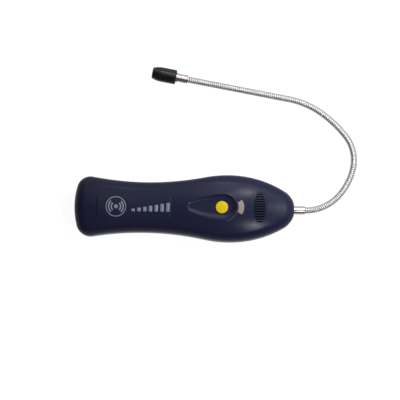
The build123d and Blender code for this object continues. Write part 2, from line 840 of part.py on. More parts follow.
def is_round(edge, diameter):
    """Tell whether an edge is a circle of the given diameter."""
    return edge.geom_type == GeomType.CIRCLE and abs(edge.radius - diameter / 2) < SAME


def cell(tip, direction, y):
    """Return one cell whose positive nub touches x = tip and faces the direction."""
    nub_face = Plane(origin=(tip, y, cell_z), z_dir=(-direction, 0, 0))
    with BuildPart() as body:
        with BuildSketch(nub_face) as nub:
            Circle(NUB_D / 2)
        extrude(nub.sketch, amount=CELL_LENGTH)
        with BuildSketch(nub_face.offset(NUB_LENGTH)) as can:
            Circle(CELL_D / 2)
        extrude(can.sketch, amount=CELL_LENGTH - NUB_LENGTH)
        fillet(body.edges().filter_by(lambda edge: is_round(edge, CELL_D)), CELL_EDGE_R)
    return body.part


# Four cells in two rows that face opposite ways
cell_tips = (
    (plate_front - PLATE, 1, row_y),
    (plate_front - PLATE - CELL_LENGTH, 1, row_y),
    (plate_back + PLATE, -1, -row_y),
    (plate_back + PLATE + CELL_LENGTH, -1, -row_y),
)
for number, (tip_x, direction, y) in enumerate(cell_tips, start=1):
    with BuildPart() as aa_cell:
        add(cell(tip_x, direction, y))
    aa_cell.part.label = f"cell_{number}"
    export_step(aa_cell.part, f"parts/cell_{number}.step")

# Contact springs behind each row's negative end
spring_starts = ((plate_back + PLATE, row_y), (plate_front - PLATE - SPRING_LENGTH, -row_y))
with BuildPart() as contact_springs:
    coil_height = SPRING_LENGTH - SPRING_WIRE
    for x, y in spring_starts:
        with BuildLine() as coil:
            Helix(
                pitch=coil_height / SPRING_TURNS,
                height=coil_height,
                radius=(SPRING_D - SPRING_WIRE) / 2,
                center=(x + SPRING_WIRE / 2, y, cell_z),
                direction=(1, 0, 0),
            )
        with BuildSketch(Plane(origin=coil.line @ 0, z_dir=coil.line % 0)) as wire:
            Circle(SPRING_WIRE / 2)
        sweep(wire.sketch, path=coil.line)
contact_springs.part.label = "contact_springs"
export_step(contact_springs.part, "parts/contact_springs.step")

# Leads from the front plates to the battery connector
with BuildPart() as battery_leads:
    for side in (1, -1):
        with BuildSketch(
            Plane(origin=(plate_front, side * LEAD_Y, lead_z), z_dir=(1, 0, 0))
        ) as lead:
            Circle(LEAD_D / 2)
        extrude(lead.sketch, amount=BATTERY_CONNECTOR_X - plate_front)
battery_leads.part.label = "battery_leads"
export_step(battery_leads.part, "parts/battery_leads.step")

# Base ferrule: cup for the neck outside the nose, threaded shank inside it
with BuildPart() as neck_base_ferrule:
    nose_rod(NOSE_FLAT_X, FERRULE_END_X, FERRULE_D)
    chamfer(neck_base_ferrule.edges().sort_by(Axis.X)[-1], FERRULE_EDGE)
    nose_rod(SHANK_BACK_X, NOSE_FLAT_X, SHANK_D)
    nose_rod(SHANK_BACK_X, FERRULE_END_X, FERRULE_BORE, Mode.SUBTRACT)
    nose_rod(
        FERRULE_END_X - NECK_SEAT - NECK_SEAT_GAP,
        FERRULE_END_X,
        NECK_D + 2 * NECK_SEAT_GAP,
        Mode.SUBTRACT,
    )
neck_base_ferrule.part.label = "neck_base_ferrule"
export_step(neck_base_ferrule.part, "parts/neck_base_ferrule.step")

with BuildPart() as neck_washer:
    nose_rod(COLLAR_BACK_X - WASHER, COLLAR_BACK_X, WASHER_D)
    nose_rod(
        COLLAR_BACK_X - WASHER,
        COLLAR_BACK_X,
        SHANK_D + 2 * SHANK_GAP,
        Mode.SUBTRACT,
    )
neck_washer.part.label = "neck_washer"
export_step(neck_washer.part, "parts/neck_washer.step")

with BuildPart() as neck_lock_nut:
    with BuildSketch(nose_plane(COLLAR_BACK_X - WASHER - NUT)):
        RegularPolygon(NUT_FLATS / 2, 6, major_radius=False)
        Circle(SHANK_D / 2 + SHANK_GAP, mode=Mode.SUBTRACT)
    extrude(amount=NUT)
neck_lock_nut.part.label = "neck_lock_nut"
export_step(neck_lock_nut.part, "parts/neck_lock_nut.step")


def advance(frame, turn, length):
    """Return the place and heading in degrees after an arc of the neck."""
    x, y, heading = frame
    half = radians(turn) / 2
    chord = length * sin(half) / half if turn else length
    direction = radians(heading) + half
    return (x + chord * cos(direction), y + chord * sin(direction), heading + turn)


def cross_plane(frame):
    """Return the plane across the neck at a frame."""
    x, y, heading = frame
    ahead = (cos(radians(heading)), sin(radians(heading)), 0)
    aside = (-ahead[1], ahead[0], 0)
    return Plane(origin=(x, y, NECK_Z), x_dir=aside, z_dir=ahead)


def neck_run(frame, turn, length, diameter, mode=Mode.ADD):
    """Add or cut a round rod along an arc of the neck that starts at a frame."""
    with BuildSketch(cross_plane(frame)) as ring:
        Circle(diameter / 2)
    if turn:
        x, y, heading = frame
        radius = length / radians(turn)
        center = (
            x - radius * sin(radians(heading)),
            y + radius * cos(radians(heading)),
            NECK_Z,
        )
        revolve(ring.sketch, Axis(center, (0, 0, 1)), revolution_arc=turn, mode=mode)
    else:
        extrude(ring.sketch, amount=length, mode=mode)


def neck_tube(frame, runs, diameter, mode=Mode.ADD):
    """Add or cut one round rod along runs that follow one another, as (turn, length)."""
    with BuildLine() as path:
        place = frame
        for turn, length in runs:
            middle = advance(place, turn / 2, length / 2)
            end = advance(place, turn, length)
            points = [(x, y, NECK_Z) for x, y, heading in (place, middle, end)]
            if turn:
                ThreePointArc(*points)
            else:
                Line(points[0], points[-1])
            place = end
    with BuildSketch(cross_plane(frame)) as ring:
        Circle(diameter / 2)
    sweep(ring.sketch, path=path.line, mode=mode)


neck_frames = [(FERRULE_END_X, 0.0, 0.0)]
for turn in NECK_TURNS:
    neck_frames.append(advance(neck_frames[-1], turn, NECK_SECTION))
tip_frame = neck_frames[-1]


def neck_section(index):
    """Return one section of the neck, with a socket and a ball where it has them."""
    start = neck_frames[index]
    end = neck_frames[index + 1]
    turn = NECK_TURNS[index]
    first = index == 0
    last = index == len(NECK_TURNS) - 1
    front_rim = 0 if first else RIM
    end_rim = 0 if last else RIM
    rate = turn / NECK_SECTION
    tube_length = NECK_SECTION - front_rim - end_rim
    tube_start = advance(start, rate * front_rim, front_rim)
    seat_start = advance(start, 0, -NECK_SEAT)
    with BuildPart() as section:
        if first:
            seat_and_arc = [(0, NECK_SEAT), (rate * tube_length, tube_length)]
            neck_tube(seat_start, seat_and_arc, NECK_D)
        else:
            neck_run(tube_start, rate * tube_length, tube_length, NECK_D)
            with Locations(cross_plane(start)):
                Sphere(BALL_R + BALL_GAP, mode=Mode.SUBTRACT)
        if last:
            neck_run(end, 0, NECK_SEAT, NECK_D)
        else:
            with Locations(cross_plane(end)):
                Sphere(BALL_R)
            split(bisect_by=cross_plane(end).offset(BALL_REACH), keep=Keep.BOTTOM)
            with BuildSketch(cross_plane(end)) as mouth:
                Circle(NECK_BORE / 2)
            extrude(mouth.sketch, amount=BALL_REACH, taper=-BALL_FLARE, mode=Mode.SUBTRACT)
        bore_runs = [(0, NECK_SEAT), (turn, NECK_SECTION), (0, NECK_SEAT)]
        neck_tube(seat_start, bore_runs, NECK_BORE, Mode.SUBTRACT)
    return section.part


for index in range(len(NECK_TURNS)):
    with BuildPart() as section:
        add(neck_section(index))
    section.part.label = f"neck_section_{index + 1}"
    export_step(section.part, f"parts/neck_section_{index + 1}.step")


def tip_rod(near, far, diameter, mode=Mode.ADD):
    """Add or cut a round rod on the tip's axis, between two distances along it."""
    neck_run(advance(tip_frame, 0, near), 0, far - near, diameter, mode)


flange_face = TIP_FERRULE + TIP_FLANGE
stub_end = flange_face + TIP_STUB
holder_start = flange_face + TIP_GAP
holder_end = holder_start + HOLDER
sensor_start = holder_end + TIP_GAP / 2
base_end = sensor_start + SENSOR_BASE
sensor_end = sensor_start + SENSOR
pin_turns = (45, 135, 225, 315)

# Tip ferrule: cup for the neck, flange behind the hood, stub for the holder
with BuildPart() as neck_tip_ferrule:
    tip_rod(0, TIP_FERRULE, FERRULE_D)
    tip_rod(TIP_FERRULE, flange_face, TIP_FLANGE_D)
    tip_rod(flange_face, stub_end, TIP_STUB_D)
    tip_rod(0, stub_end, FERRULE_BORE, Mode.SUBTRACT)
    tip_rod(0, NECK_SEAT + NECK_SEAT_GAP, NECK_D + 2 * NECK_SEAT_GAP, Mode.SUBTRACT)
neck_tip_ferrule.part.label = "neck_tip_ferrule"
export_step(neck_tip_ferrule.part, "parts/neck_tip_ferrule.step")


def tip_pins(near, far, diameter, mode=Mode.ADD):
    """Add or cut the ring of sensor pins between two distances along the tip."""
    with BuildSketch(cross_plane(advance(tip_frame, 0, near))) as pins:
        with PolarLocations(PIN_RING / 2, len(pin_turns), start_angle=pin_turns[0]):
            Circle(diameter / 2)
    extrude(pins.sketch, amount=far - near, mode=mode)


# Sensor holder: socket on the ferrule's stub, with holes for the sensor's pins
with BuildPart() as sensor_holder:
    tip_rod(holder_start, holder_end, HOLDER_D)
    tip_rod(holder_start, stub_end + TIP_GAP, TIP_STUB_D + TIP_GAP, Mode.SUBTRACT)
    tip_rod(stub_end, holder_end - HOLDER_WEB, HOLDER_CAVITY_D, Mode.SUBTRACT)
    tip_pins(stub_end, holder_end, PIN_D + 2 * PIN_GAP, Mode.SUBTRACT)
sensor_holder.part.label = "sensor_holder"
export_step(sensor_holder.part, "parts/sensor_holder.step")

# Sensor: metal can on a base, with a sunk face and four pins
with BuildPart() as sensor:
    tip_rod(sensor_start, base_end, SENSOR_BASE_D)
    tip_rod(base_end, sensor_end, SENSOR_D)
    tip_rod(sensor_end - SENSOR_FACE, sensor_end, SENSOR_FACE_D, Mode.SUBTRACT)
    tip_pins(sensor_start - PIN_LENGTH, sensor_start, PIN_D)
sensor.part.label = "sensor"
export_step(sensor.part, "parts/sensor.step")

# Hood: cylinder that draws in to a blunt nose, with a mouth for the gas
with BuildPart() as sensor_hood:
    hood_start = advance(tip_frame, 0, flange_face + HOOD_START)
    across = cross_plane(hood_start)
    bore_r = HOLDER_D / 2 + HOOD_BORE_GAP
    with BuildSketch(Plane(origin=across.origin, x_dir=across.z_dir, z_dir=(0, 0, 1))):
        with BuildLine():
            Polyline(
                (HOOD_STRAIGHT, HOOD_D / 2),
                (HOOD_EDGE, HOOD_D / 2),
                (0, HOOD_D / 2 - HOOD_EDGE),
                (0, bore_r),
                (HOOD_BORE, bore_r),
                (HOOD_BORE, HOOD_MOUTH_D / 2),
                (HOOD, HOOD_MOUTH_D / 2),
                (HOOD, HOOD_TIP_D / 2),
            )
            TangentArc(
                (HOOD_STRAIGHT, HOOD_D / 2), (HOOD, HOOD_TIP_D / 2), tangent=(1, 0)
            )
        make_face()
    revolve(axis=Axis(across.origin, across.z_dir))
    fillet(sensor_hood.edges().filter_by(lambda edge: is_round(edge, HOOD_TIP_D)), HOOD_EDGE)
sensor_hood.part.label = "sensor_hood"
export_step(sensor_hood.part, "parts/sensor_hood.step")

# Sensor cable: from the board's connector through the neck to the sensor's pins
with BuildPart() as sensor_cable:
    neck_run((SENSOR_CONNECTOR_X, 0, 0), 0, FERRULE_END_X - SENSOR_CONNECTOR_X, CABLE_D)
    for frame, turn in zip(neck_frames, NECK_TURNS):
        neck_run(frame, turn, NECK_SECTION, CABLE_D)
    tip_rod(0, CABLE_END, CABLE_D)
sensor_cable.part.label = "sensor_cable"
export_step(sensor_cable.part, "parts/sensor_cable.step")
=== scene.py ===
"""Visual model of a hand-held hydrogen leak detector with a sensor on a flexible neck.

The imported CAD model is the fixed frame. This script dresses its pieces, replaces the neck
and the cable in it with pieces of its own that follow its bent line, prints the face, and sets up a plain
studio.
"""

from __future__ import annotations

import json
import logging
import math
from collections.abc import Iterable
from dataclasses import dataclass
from enum import Enum

import bmesh
import bpy
from mathutils import Matrix, Vector
from mathutils.bvhtree import BVHTree

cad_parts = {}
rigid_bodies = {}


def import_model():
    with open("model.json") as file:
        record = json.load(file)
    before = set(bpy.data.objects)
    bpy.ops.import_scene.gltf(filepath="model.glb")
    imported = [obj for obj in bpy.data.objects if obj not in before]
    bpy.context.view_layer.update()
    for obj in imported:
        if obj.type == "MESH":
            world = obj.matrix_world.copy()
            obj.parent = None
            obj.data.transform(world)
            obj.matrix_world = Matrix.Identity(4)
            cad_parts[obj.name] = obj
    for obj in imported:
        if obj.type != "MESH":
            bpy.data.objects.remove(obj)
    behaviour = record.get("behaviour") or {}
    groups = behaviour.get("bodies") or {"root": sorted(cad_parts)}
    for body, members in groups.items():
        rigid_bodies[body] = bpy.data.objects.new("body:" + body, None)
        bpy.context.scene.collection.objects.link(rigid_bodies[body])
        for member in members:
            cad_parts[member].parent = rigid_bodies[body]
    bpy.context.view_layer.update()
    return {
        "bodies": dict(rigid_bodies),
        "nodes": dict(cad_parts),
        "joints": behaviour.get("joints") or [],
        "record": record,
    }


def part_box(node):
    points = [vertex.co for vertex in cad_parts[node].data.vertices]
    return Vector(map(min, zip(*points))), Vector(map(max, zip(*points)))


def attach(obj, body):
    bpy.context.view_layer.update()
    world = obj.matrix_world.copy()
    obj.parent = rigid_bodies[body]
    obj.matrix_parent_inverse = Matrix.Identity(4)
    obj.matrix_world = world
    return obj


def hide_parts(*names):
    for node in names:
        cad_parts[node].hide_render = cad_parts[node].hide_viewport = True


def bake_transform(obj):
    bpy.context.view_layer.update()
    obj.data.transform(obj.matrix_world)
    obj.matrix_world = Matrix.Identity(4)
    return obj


LOG = logging.getLogger("leak_detector")
MM = 0.001
Colour = tuple[float, float, float, float]


def srgb(red: float, green: float, blue: float) -> Colour:
    """Turn a display colour into the linear values that shaders take.

    Args:
        red: Red, 0 to 255.
        green: Green, 0 to 255.
        blue: Blue, 0 to 255.

    Returns:
        Linear red, green and blue, with an alpha of 1.
    """

    def linear(value: float) -> float:
        """Undo the display curve of one channel."""
        share = value / 255
        return share / 12.92 if share <= 0.04045 else ((share + 0.055) / 1.055) ** 2.4

    return linear(red), linear(green), linear(blue), 1.0


class Body(str, Enum):
    """CAD bodies that pieces ride on; the neck's others are numbered."""

    HOUSING = "housing"
    NECK_END = "neck_8"

    @staticmethod
    def of_section(number: int) -> str:
        """Name the body that a section of the neck belongs to, counted from 1."""
        return Body.HOUSING.value if number == 1 else f"neck_{number}"


class Interpolation(Enum):
    """How a value runs from one end of a range to the other."""

    EVEN = "LINEAR"
    EASED = "SMOOTHSTEP"


class Graph:
    """Adds nodes to one shader tree and joins them."""

    def __init__(self, tree: bpy.types.NodeTree) -> None:
        """Work on the given tree."""
        self.tree = tree

    def add(
        self, kind: str, inputs: dict[str | int, object] | None = None, **settings: object
    ) -> bpy.types.Node:
        """Add one node.

        Args:
            kind: The node's type name.
            inputs: A value or another node's output for each named or numbered input.
            **settings: Properties of the node.

        Returns:
            The new node.
        """
        node = self.tree.nodes.new(kind)
        for name, value in settings.items():
            setattr(node, name, value)
        for key, value in (inputs or {}).items():
            if isinstance(value, bpy.types.NodeSocket):
                self.tree.links.new(value, node.inputs[key])
            else:
                node.inputs[key].default_value = value
        return node

    def math(self, operation: str, *values: object) -> bpy.types.NodeSocket:
        """Combine numbers with a Math node and return its output."""
        inputs = dict(enumerate(values))
        return self.add("ShaderNodeMath", inputs, operation=operation).outputs[0]

    def vector(self, operation: str, *values: object, output: str = "Vector") -> object:
        """Combine vectors with a Vector Math node and return the named output."""
        inputs = dict(enumerate(values))
        node = self.add("ShaderNodeVectorMath", inputs, operation=operation)
        return node.outputs[output]

    def scale(self, vector: object, factor: object) -> object:
        """Return a vector times a number."""
        node = self.add("ShaderNodeVectorMath", {0: vector, "Scale": factor}, operation="SCALE")
        return node.outputs["Vector"]

    def mix(self, share: object, first: object, second: object) -> object:
        """Return the colour between two colours at a share."""
        inputs = {0: share, 6: first, 7: second}
        return self.add("ShaderNodeMix", inputs, data_type="RGBA").outputs[2]

    def ranged(
        self,
        value: object,
        start: object,
        end: object,
        low: object = 0.0,
        high: object = 1.0,
        way: Interpolation = Interpolation.EASED,
    ) -> object:
        """Map a value from one range to another.

        Args:
            value: The value to map.
            start: Where the source range starts.
            end: Where the source range ends.
            low: Result at the start and before it.
            high: Result at the end and after it.
            way: How the result runs between the two.

        Returns:
            The mapped value's socket.
        """
        inputs = {"Value": value, 1: start, 2: end, 3: low, 4: high}
        node = self.add("ShaderNodeMapRange", inputs, interpolation_type=way.value)
        return node.outputs["Result"]

    def noise(self, vector: object, scale: object = 1.0, detail: float = 2.0) -> object:
        """Return smooth noise, mostly between 0.3 and 0.7."""
        inputs = {"Vector": vector, "Scale": scale, "Detail": detail}
        return self.add("ShaderNodeTexNoise", inputs).outputs[0]

    def bump(self, height: object, depth: float, normal: object = None) -> object:
        """Return the normal of a surface with a relief of the given depth in metres."""
        inputs = {"Strength": 1.0, "Distance": depth, "Height": height}
        if normal is not None:
            inputs["Normal"] = normal
        return self.add("ShaderNodeBump", inputs).outputs["Normal"]

    def place(self) -> object:
        """Return the point in the row frame at rest."""
        return self.add("ShaderNodeTexCoord").outputs["Object"]

    def parts_of(self, vector: object) -> tuple[object, object, object]:
        """Return the three components of a vector."""
        outputs = self.add("ShaderNodeSeparateXYZ", {0: vector}).outputs
        return outputs[0], outputs[1], outputs[2]


class Effects:
    """Node groups that several finishes share, each built once."""

    SOCKETS = {"float": "NodeSocketFloat", "vector": "NodeSocketVector"}

    def __init__(self) -> None:
        """Start with no group built."""
        self.trees: dict[str, bpy.types.NodeTree] = {}

    def _open(
        self, name: str, inputs: dict[str, str], outputs: Iterable[str]
    ) -> tuple[Graph, bpy.types.Node, bpy.types.Node]:
        """Start a group.

        Args:
            name: The group's name.
            inputs: The kind of each input, by name.
            outputs: Names of the outputs, all numbers.

        Returns:
            The group's graph, its input node and its output node.
        """
        tree = bpy.data.node_groups.new(name, "ShaderNodeTree")
        for label, kind in inputs.items():
            tree.interface.new_socket(label, in_out="INPUT", socket_type=self.SOCKETS[kind])
        for label in outputs:
            tree.interface.new_socket(label, in_out="OUTPUT", socket_type=self.SOCKETS["float"])
        self.trees[name] = tree
        graph = Graph(tree)
        return graph, graph.add("NodeGroupInput"), graph.add("NodeGroupOutput")

    def grain(self) -> bpy.types.NodeTree:
        """Build the grain of a moulded or ground surface: fine relief, waviness, mottling."""
        if "grain" in self.trees:
            return self.trees["grain"]
        sizes = {"Place": "vector", "Fine": "float", "Wave": "float", "Wave Share": "float"}
        graph, given, result = self._open("grain", sizes, ("Height", "Mottle"))
        place = given.outputs["Place"]
        fine = graph.math("DIVIDE", 1.0, given.outputs["Fine"])
        wave = graph.math("DIVIDE", 1.0, given.outputs["Wave"])
        pits = graph.noise(graph.scale(place, fine), detail=3.0)
        swell = graph.noise(graph.scale(place, wave), detail=1.0)
        share = given.outputs["Wave Share"]
        rest = graph.math("SUBTRACT", 1.0, share)
        height = graph.math(
            "MULTIPLY_ADD", pits, rest, graph.math("MULTIPLY", swell, share)
        )
        patches = graph.noise(graph.scale(place, graph.math("DIVIDE", wave, 7.0)), detail=4.0)
        links = graph.tree.links
        links.new(height, result.inputs["Height"])
        links.new(graph.ranged(patches, 0.32, 0.68), result.inputs["Mottle"])
        return graph.tree

    def scuffs(self) -> bpy.types.NodeTree:
        """Build fine scratches that lie in patches, as handling leaves them."""
        if "scuffs" in self.trees:
            return self.trees["scuffs"]
        sizes = {"Place": "vector", "Length": "float", "Amount": "float"}
        graph, given, result = self._open("scuffs", sizes, ("Mask",))
        scale = graph.math("DIVIDE", 1.0, given.outputs["Length"])
        place = graph.scale(given.outputs["Place"], scale)
        lines = None
        for turn, stretch in ((0.5, 34.0), (-0.9, 27.0)):
            turned = graph.add(
                "ShaderNodeMapping",
                {"Vector": place, "Rotation": (0, 0, turn), "Scale": (1.0, stretch, 2.0)},
            ).outputs[0]
            ridge = graph.math("ABSOLUTE", graph.math("SUBTRACT", graph.noise(turned), 0.5))
            line = graph.ranged(ridge, 0.0, 0.006, 1.0, 0.0)
            lines = line if lines is None else graph.math("MAXIMUM", lines, line)
        patch = graph.noise(graph.scale(place, 0.6), detail=3.0)
        limit = graph.math("SUBTRACT", 0.72, graph.math("MULTIPLY", given.outputs["Amount"], 0.3))
        share = graph.ranged(patch, limit, graph.math("ADD", limit, 0.08))
        graph.tree.links.new(graph.math("MULTIPLY", lines, share), result.inputs["Mask"])
        return graph.tree

    def turning(self) -> bpy.types.NodeTree:
        """Build the fine rings that a lathe tool leaves along an axis."""
        if "turning" in self.trees:
            return self.trees["turning"]
        sizes = {"Distance": "float", "Pitch": "float"}
        graph, given, result = self._open("turning", sizes, ("Height",))
        count = graph.math("DIVIDE", given.outputs["Distance"], given.outputs["Pitch"])
        uneven = graph.add("ShaderNodeTexNoise", {"W": count, "Detail": 3.0}, noise_dimensions="1D")
        wave = graph.math("SINE", graph.math("MULTIPLY", count, 2 * math.pi))
        height = graph.math("MULTIPLY_ADD", wave, 0.25, uneven.outputs[0])
        graph.tree.links.new(height, result.inputs["Height"])
        return graph.tree

    def edge_wear_and_highlight(self) -> bpy.types.NodeTree:
        """Build a line of a given width beside an edge, broken up a little; it makes worn lines and
        painted highlights.
        """
        if "edge_wear_and_highlight" in self.trees:
            return self.trees["edge_wear_and_highlight"]
        sizes = {"Place": "vector", "Distance": "float", "Width": "float"}
        graph, given, result = self._open("edge_wear_and_highlight", sizes, ("Mask",))
        near = graph.ranged(given.outputs["Distance"], 0.0, given.outputs["Width"], 1.0, 0.0)
        outside = graph.math("GREATER_THAN", given.outputs["Distance"], -0.00002)
        broken = graph.ranged(
            graph.noise(given.outputs["Place"], 400.0, 3.0), 0.3, 0.6, 0.65, 1.0
        )
        mask = graph.math("MULTIPLY", graph.math("MULTIPLY", near, outside), broken)
        graph.tree.links.new(mask, result.inputs["Mask"])
        return graph.tree

    def use(self, graph: Graph, tree: bpy.types.NodeTree, **inputs: object) -> bpy.types.Node:
        """Place a group in a material.

        Args:
            graph: The material's graph.
            tree: The group.
            **inputs: The group's inputs, with an underscore for each space in a name.

        Returns:
            The group's node.
        """
        named = {name.replace("_", " "): value for name, value in inputs.items()}
        node = graph.add("ShaderNodeGroup", None, node_tree=tree)
        for name, value in named.items():
            if isinstance(value, bpy.types.NodeSocket):
                graph.tree.links.new(value, node.inputs[name])
            else:
                node.inputs[name].default_value = value
        return node


def open_material(name: str) -> tuple[bpy.types.Material, Graph, bpy.types.Node]:
    """Start a material that has one Principled shader.

    Args:
        name: The material's name.

    Returns:
        The material, its graph and its shader.
    """
    material = bpy.data.materials.new(name)
    material.use_nodes = True
    graph = Graph(material.node_tree)
    return material, graph, material.node_tree.nodes["Principled BSDF"]


def join(graph: Graph, shader: bpy.types.Node, **sockets: object) -> None:
    """Feed the shader's inputs, with an underscore for each space in a name."""
    for name, value in sockets.items():
        socket = shader.inputs[name.replace("_", " ")]
        if isinstance(value, bpy.types.NodeSocket):
            graph.tree.links.new(value, socket)
        else:
            socket.default_value = value


@dataclass(frozen=True)
class MouldedPlastic:
    """Injection-moulded plastic with fine grain, slow mottling and light scuffs."""

    name: str
    colour: Colour
    shade: Colour
    roughness: float = 0.42
    spread: float = 0.08
    fine: float = 0.35 * MM
    wave: float = 3.0 * MM
    relief: float = 0.006 * MM
    specular: float = 0.5
    coat: float = 0.0
    scuffing: float = 0.4
    scuff_colour: Colour = srgb(150, 152, 160)

    def wear_and_highlight_colour(self, graph: Graph, effects: Effects, place: object, base: object) -> object:
        """Return the base colour with this plastic's own worn lines and painted highlights; here none."""
        return base

    def make(self, effects: Effects) -> bpy.types.Material:
        """Build the material.

        Args:
            effects: The shared node groups.

        Returns:
            The new material.
        """
        material, graph, shader = open_material(self.name)
        place = graph.place()
        grain = effects.use(
            graph, effects.grain(), Place=place, Fine=self.fine, Wave=self.wave, Wave_Share=0.45
        )
        scuffs = effects.use(
            graph, effects.scuffs(), Place=place, Length=14 * MM, Amount=self.scuffing
        )
        mottle, mask = grain.outputs["Mottle"], scuffs.outputs["Mask"]
        base = graph.mix(mottle, self.colour, self.shade)
        base = self.wear_and_highlight_colour(graph, effects, place, base)
        base = graph.mix(graph.math("MULTIPLY", mask, 0.3), base, self.scuff_colour)
        low, high = self.roughness - self.spread / 2, self.roughness + self.spread / 2
        rough = graph.math("ADD", graph.ranged(mottle, 0, 1, low, high), graph.math("MULTIPLY", mask, 0.1))
        join(
            graph,
            shader,
            Base_Color=base,
            Roughness=rough,
            Normal=graph.bump(grain.outputs["Height"], self.relief),
            Specular_IOR_Level=self.specular,
            Coat_Weight=self.coat,
            Coat_Roughness=0.12,
        )
        return material


@dataclass(frozen=True)
class HousingPlastic(MouldedPlastic):
    """Plastic of the two halves, with a painted highlight line outside the finger recess and a worn line
    along the seam.
    """

    recess_x: float = 36.3 * MM
    recess_r: float = 13.3 * MM
    side_r: float = 62.0 * MM
    seam_z: float = 17.5 * MM
    face_z: float = 36.0 * MM
    # Lighter colour of the painted highlight outside the recess, and of the worn line along the seam.
    highlight_and_wear_colour: Colour = srgb(104, 106, 128)

    def wear_and_highlight_colour(self, graph: Graph, effects: Effects, place: object, base: object) -> object:
        """Return the colour with a painted highlight line outside the recess and a worn line along the
        seam.

        Args:
            graph: The material's graph.
            effects: The shared node groups.
            place: The point at rest.
            base: Colour without the wear.

        Returns:
            The worn colour.
        """
        x, y, z = graph.parts_of(place)
        ahead = graph.math("SUBTRACT", x, self.recess_x)
        aside = graph.math("ABSOLUTE", y)
        end = graph.add("ShaderNodeCombineXYZ", {0: ahead, 1: aside}).outputs[0]
        round_end = graph.math(
            "SUBTRACT", graph.vector("LENGTH", end, output="Value"), self.recess_r
        )
        on_face = graph.math("GREATER_THAN", z, self.face_z)
        in_front = graph.ranged(ahead, 0.0, 6 * MM)
        wear_and_highlight = effects.edge_wear_and_highlight()
        # Painted highlight: a thin lighter line on the face just outside the recess's round end, where its
        # rim would catch the lamps.
        highlight_line = effects.use(graph, wear_and_highlight, Place=place, Distance=round_end, Width=0.7 * MM)
        painted_highlight_mask = graph.math("MULTIPLY", graph.math("MULTIPLY", highlight_line.outputs[0], on_face), in_front)
        height = graph.math("ABSOLUTE", graph.math("SUBTRACT", z, self.seam_z))
        seam = effects.use(graph, wear_and_highlight, Place=place, Distance=height, Width=0.25 * MM)
        seam_mask = graph.math("MULTIPLY", seam.outputs[0], 0.25)
        return graph.mix(graph.math("MAXIMUM", painted_highlight_mask, seam_mask), base, self.highlight_and_wear_colour)


@dataclass(frozen=True)
class TurnedMetal:
    """Bright metal with the rings of the lathe round its axis."""

    name: str
    colour: Colour
    axis: tuple[float, float, float] = (1.0, 0.0, 0.0)
    roughness: float = 0.16
    spread: float = 0.06
    pitch: float = 0.12 * MM
    relief: float = 0.0012 * MM

    def make(self, effects: Effects) -> bpy.types.Material:
        """Build the material.

        Args:
            effects: The shared node groups.

        Returns:
            The new material.
        """
        material, graph, shader = open_material(self.name)
        place = graph.place()
        along = graph.vector("DOT_PRODUCT", place, self.axis, output="Value")
        rings = effects.use(graph, effects.turning(), Distance=along, Pitch=self.pitch)
        grain = effects.use(
            graph, effects.grain(), Place=place, Fine=0.5 * MM, Wave=1.2 * MM, Wave_Share=0.5
        )
        scuffs = effects.use(graph, effects.scuffs(), Place=place, Length=5 * MM, Amount=0.7)
        mottle = grain.outputs["Mottle"]
        dim = tuple(0.86 * value for value in self.colour[:3]) + (1.0,)
        low, high = self.roughness - self.spread / 2, self.roughness + self.spread / 2
        rough = graph.ranged(mottle, 0, 1, low, high)
        join(
            graph,
            shader,
            Base_Color=graph.mix(mottle, self.colour, dim),
            Metallic=1.0,
            Roughness=graph.math(
                "ADD", rough, graph.math("MULTIPLY", scuffs.outputs["Mask"], 0.12)
            ),
            Normal=graph.bump(rings.outputs["Height"], self.relief),
        )
        return material


@dataclass(frozen=True)
class CoilSteel:
    """Drawn steel wire wound into a neck: polished crests, and painted shade that darkens the grooves
    between turns.
    """

    name: str = "coil_steel"
    crest: Colour = srgb(214, 214, 216)
    # Colour of the painted shade deep between the turns of the wire.
    groove: Colour = srgb(112, 106, 104)
    roughness: float = 0.28

    def make(self, effects: Effects) -> bpy.types.Material:
        """Build the material.

        Args:
            effects: The shared node groups.

        Returns:
            The new material.
        """
        material, graph, shader = open_material(self.name)
        place = graph.place()
        depth = graph.add("ShaderNodeAttribute", None, attribute_name="groove").outputs["Fac"]
        grain = effects.use(
            graph, effects.grain(), Place=place, Fine=0.25 * MM, Wave=0.9 * MM, Wave_Share=0.3
        )
        mottle = grain.outputs["Mottle"]
        # Painted shade: the colour darkens towards the groove colour where the surface lies deep between
        # turns, broken up by the mottle.
        painted_groove_shade = graph.math(
            "MULTIPLY", graph.ranged(depth, 0.35, 1.0), graph.ranged(mottle, 0, 1, 0.7, 1.0)
        )
        rough = graph.ranged(painted_groove_shade, 0, 1, self.roughness, 0.5)
        join(
            graph,
            shader,
            Base_Color=graph.mix(painted_groove_shade, self.crest, self.groove),
            Metallic=1.0,
            Roughness=graph.math("MULTIPLY_ADD", mottle, 0.06, rough),
            Normal=graph.bump(grain.outputs["Height"], 0.0015 * MM),
        )
        return material


@dataclass(frozen=True)
class FrostedLens:
    """Milky window with fine ribs across it, lit from below by two lamps."""

    name: str = "frosted_lens"
    colour: Colour = srgb(170, 157, 152)
    rib_colour: Colour = srgb(146, 136, 131)
    rib: float = 0.9 * MM

    def make(self, effects: Effects) -> bpy.types.Material:
        """Build the material.

        Args:
            effects: The shared node groups.

        Returns:
            The new material.
        """
        material, graph, shader = open_material(self.name)
        place = graph.place()
        x, _, _ = graph.parts_of(place)
        wave = graph.math("SINE", graph.math("MULTIPLY", x, 2 * math.pi / self.rib))
        ribs = graph.ranged(wave, -1.0, 1.0)
        grain = effects.use(
            graph, effects.grain(), Place=place, Fine=0.2 * MM, Wave=1.5 * MM, Wave_Share=0.3
        )
        height = graph.math("MULTIPLY_ADD", ribs, 0.8, grain.outputs["Height"])
        mottled = graph.math("MULTIPLY", ribs, graph.ranged(grain.outputs["Mottle"], 0, 1, 0.3, 0.7))
        join(
            graph,
            shader,
            Base_Color=graph.mix(mottled, self.colour, self.rib_colour),
            Roughness=graph.ranged(grain.outputs["Mottle"], 0, 1, 0.34, 0.42),
            Normal=graph.bump(height, 0.02 * MM),
            Transmission_Weight=0.12,
            IOR=1.49,
        )
        return material


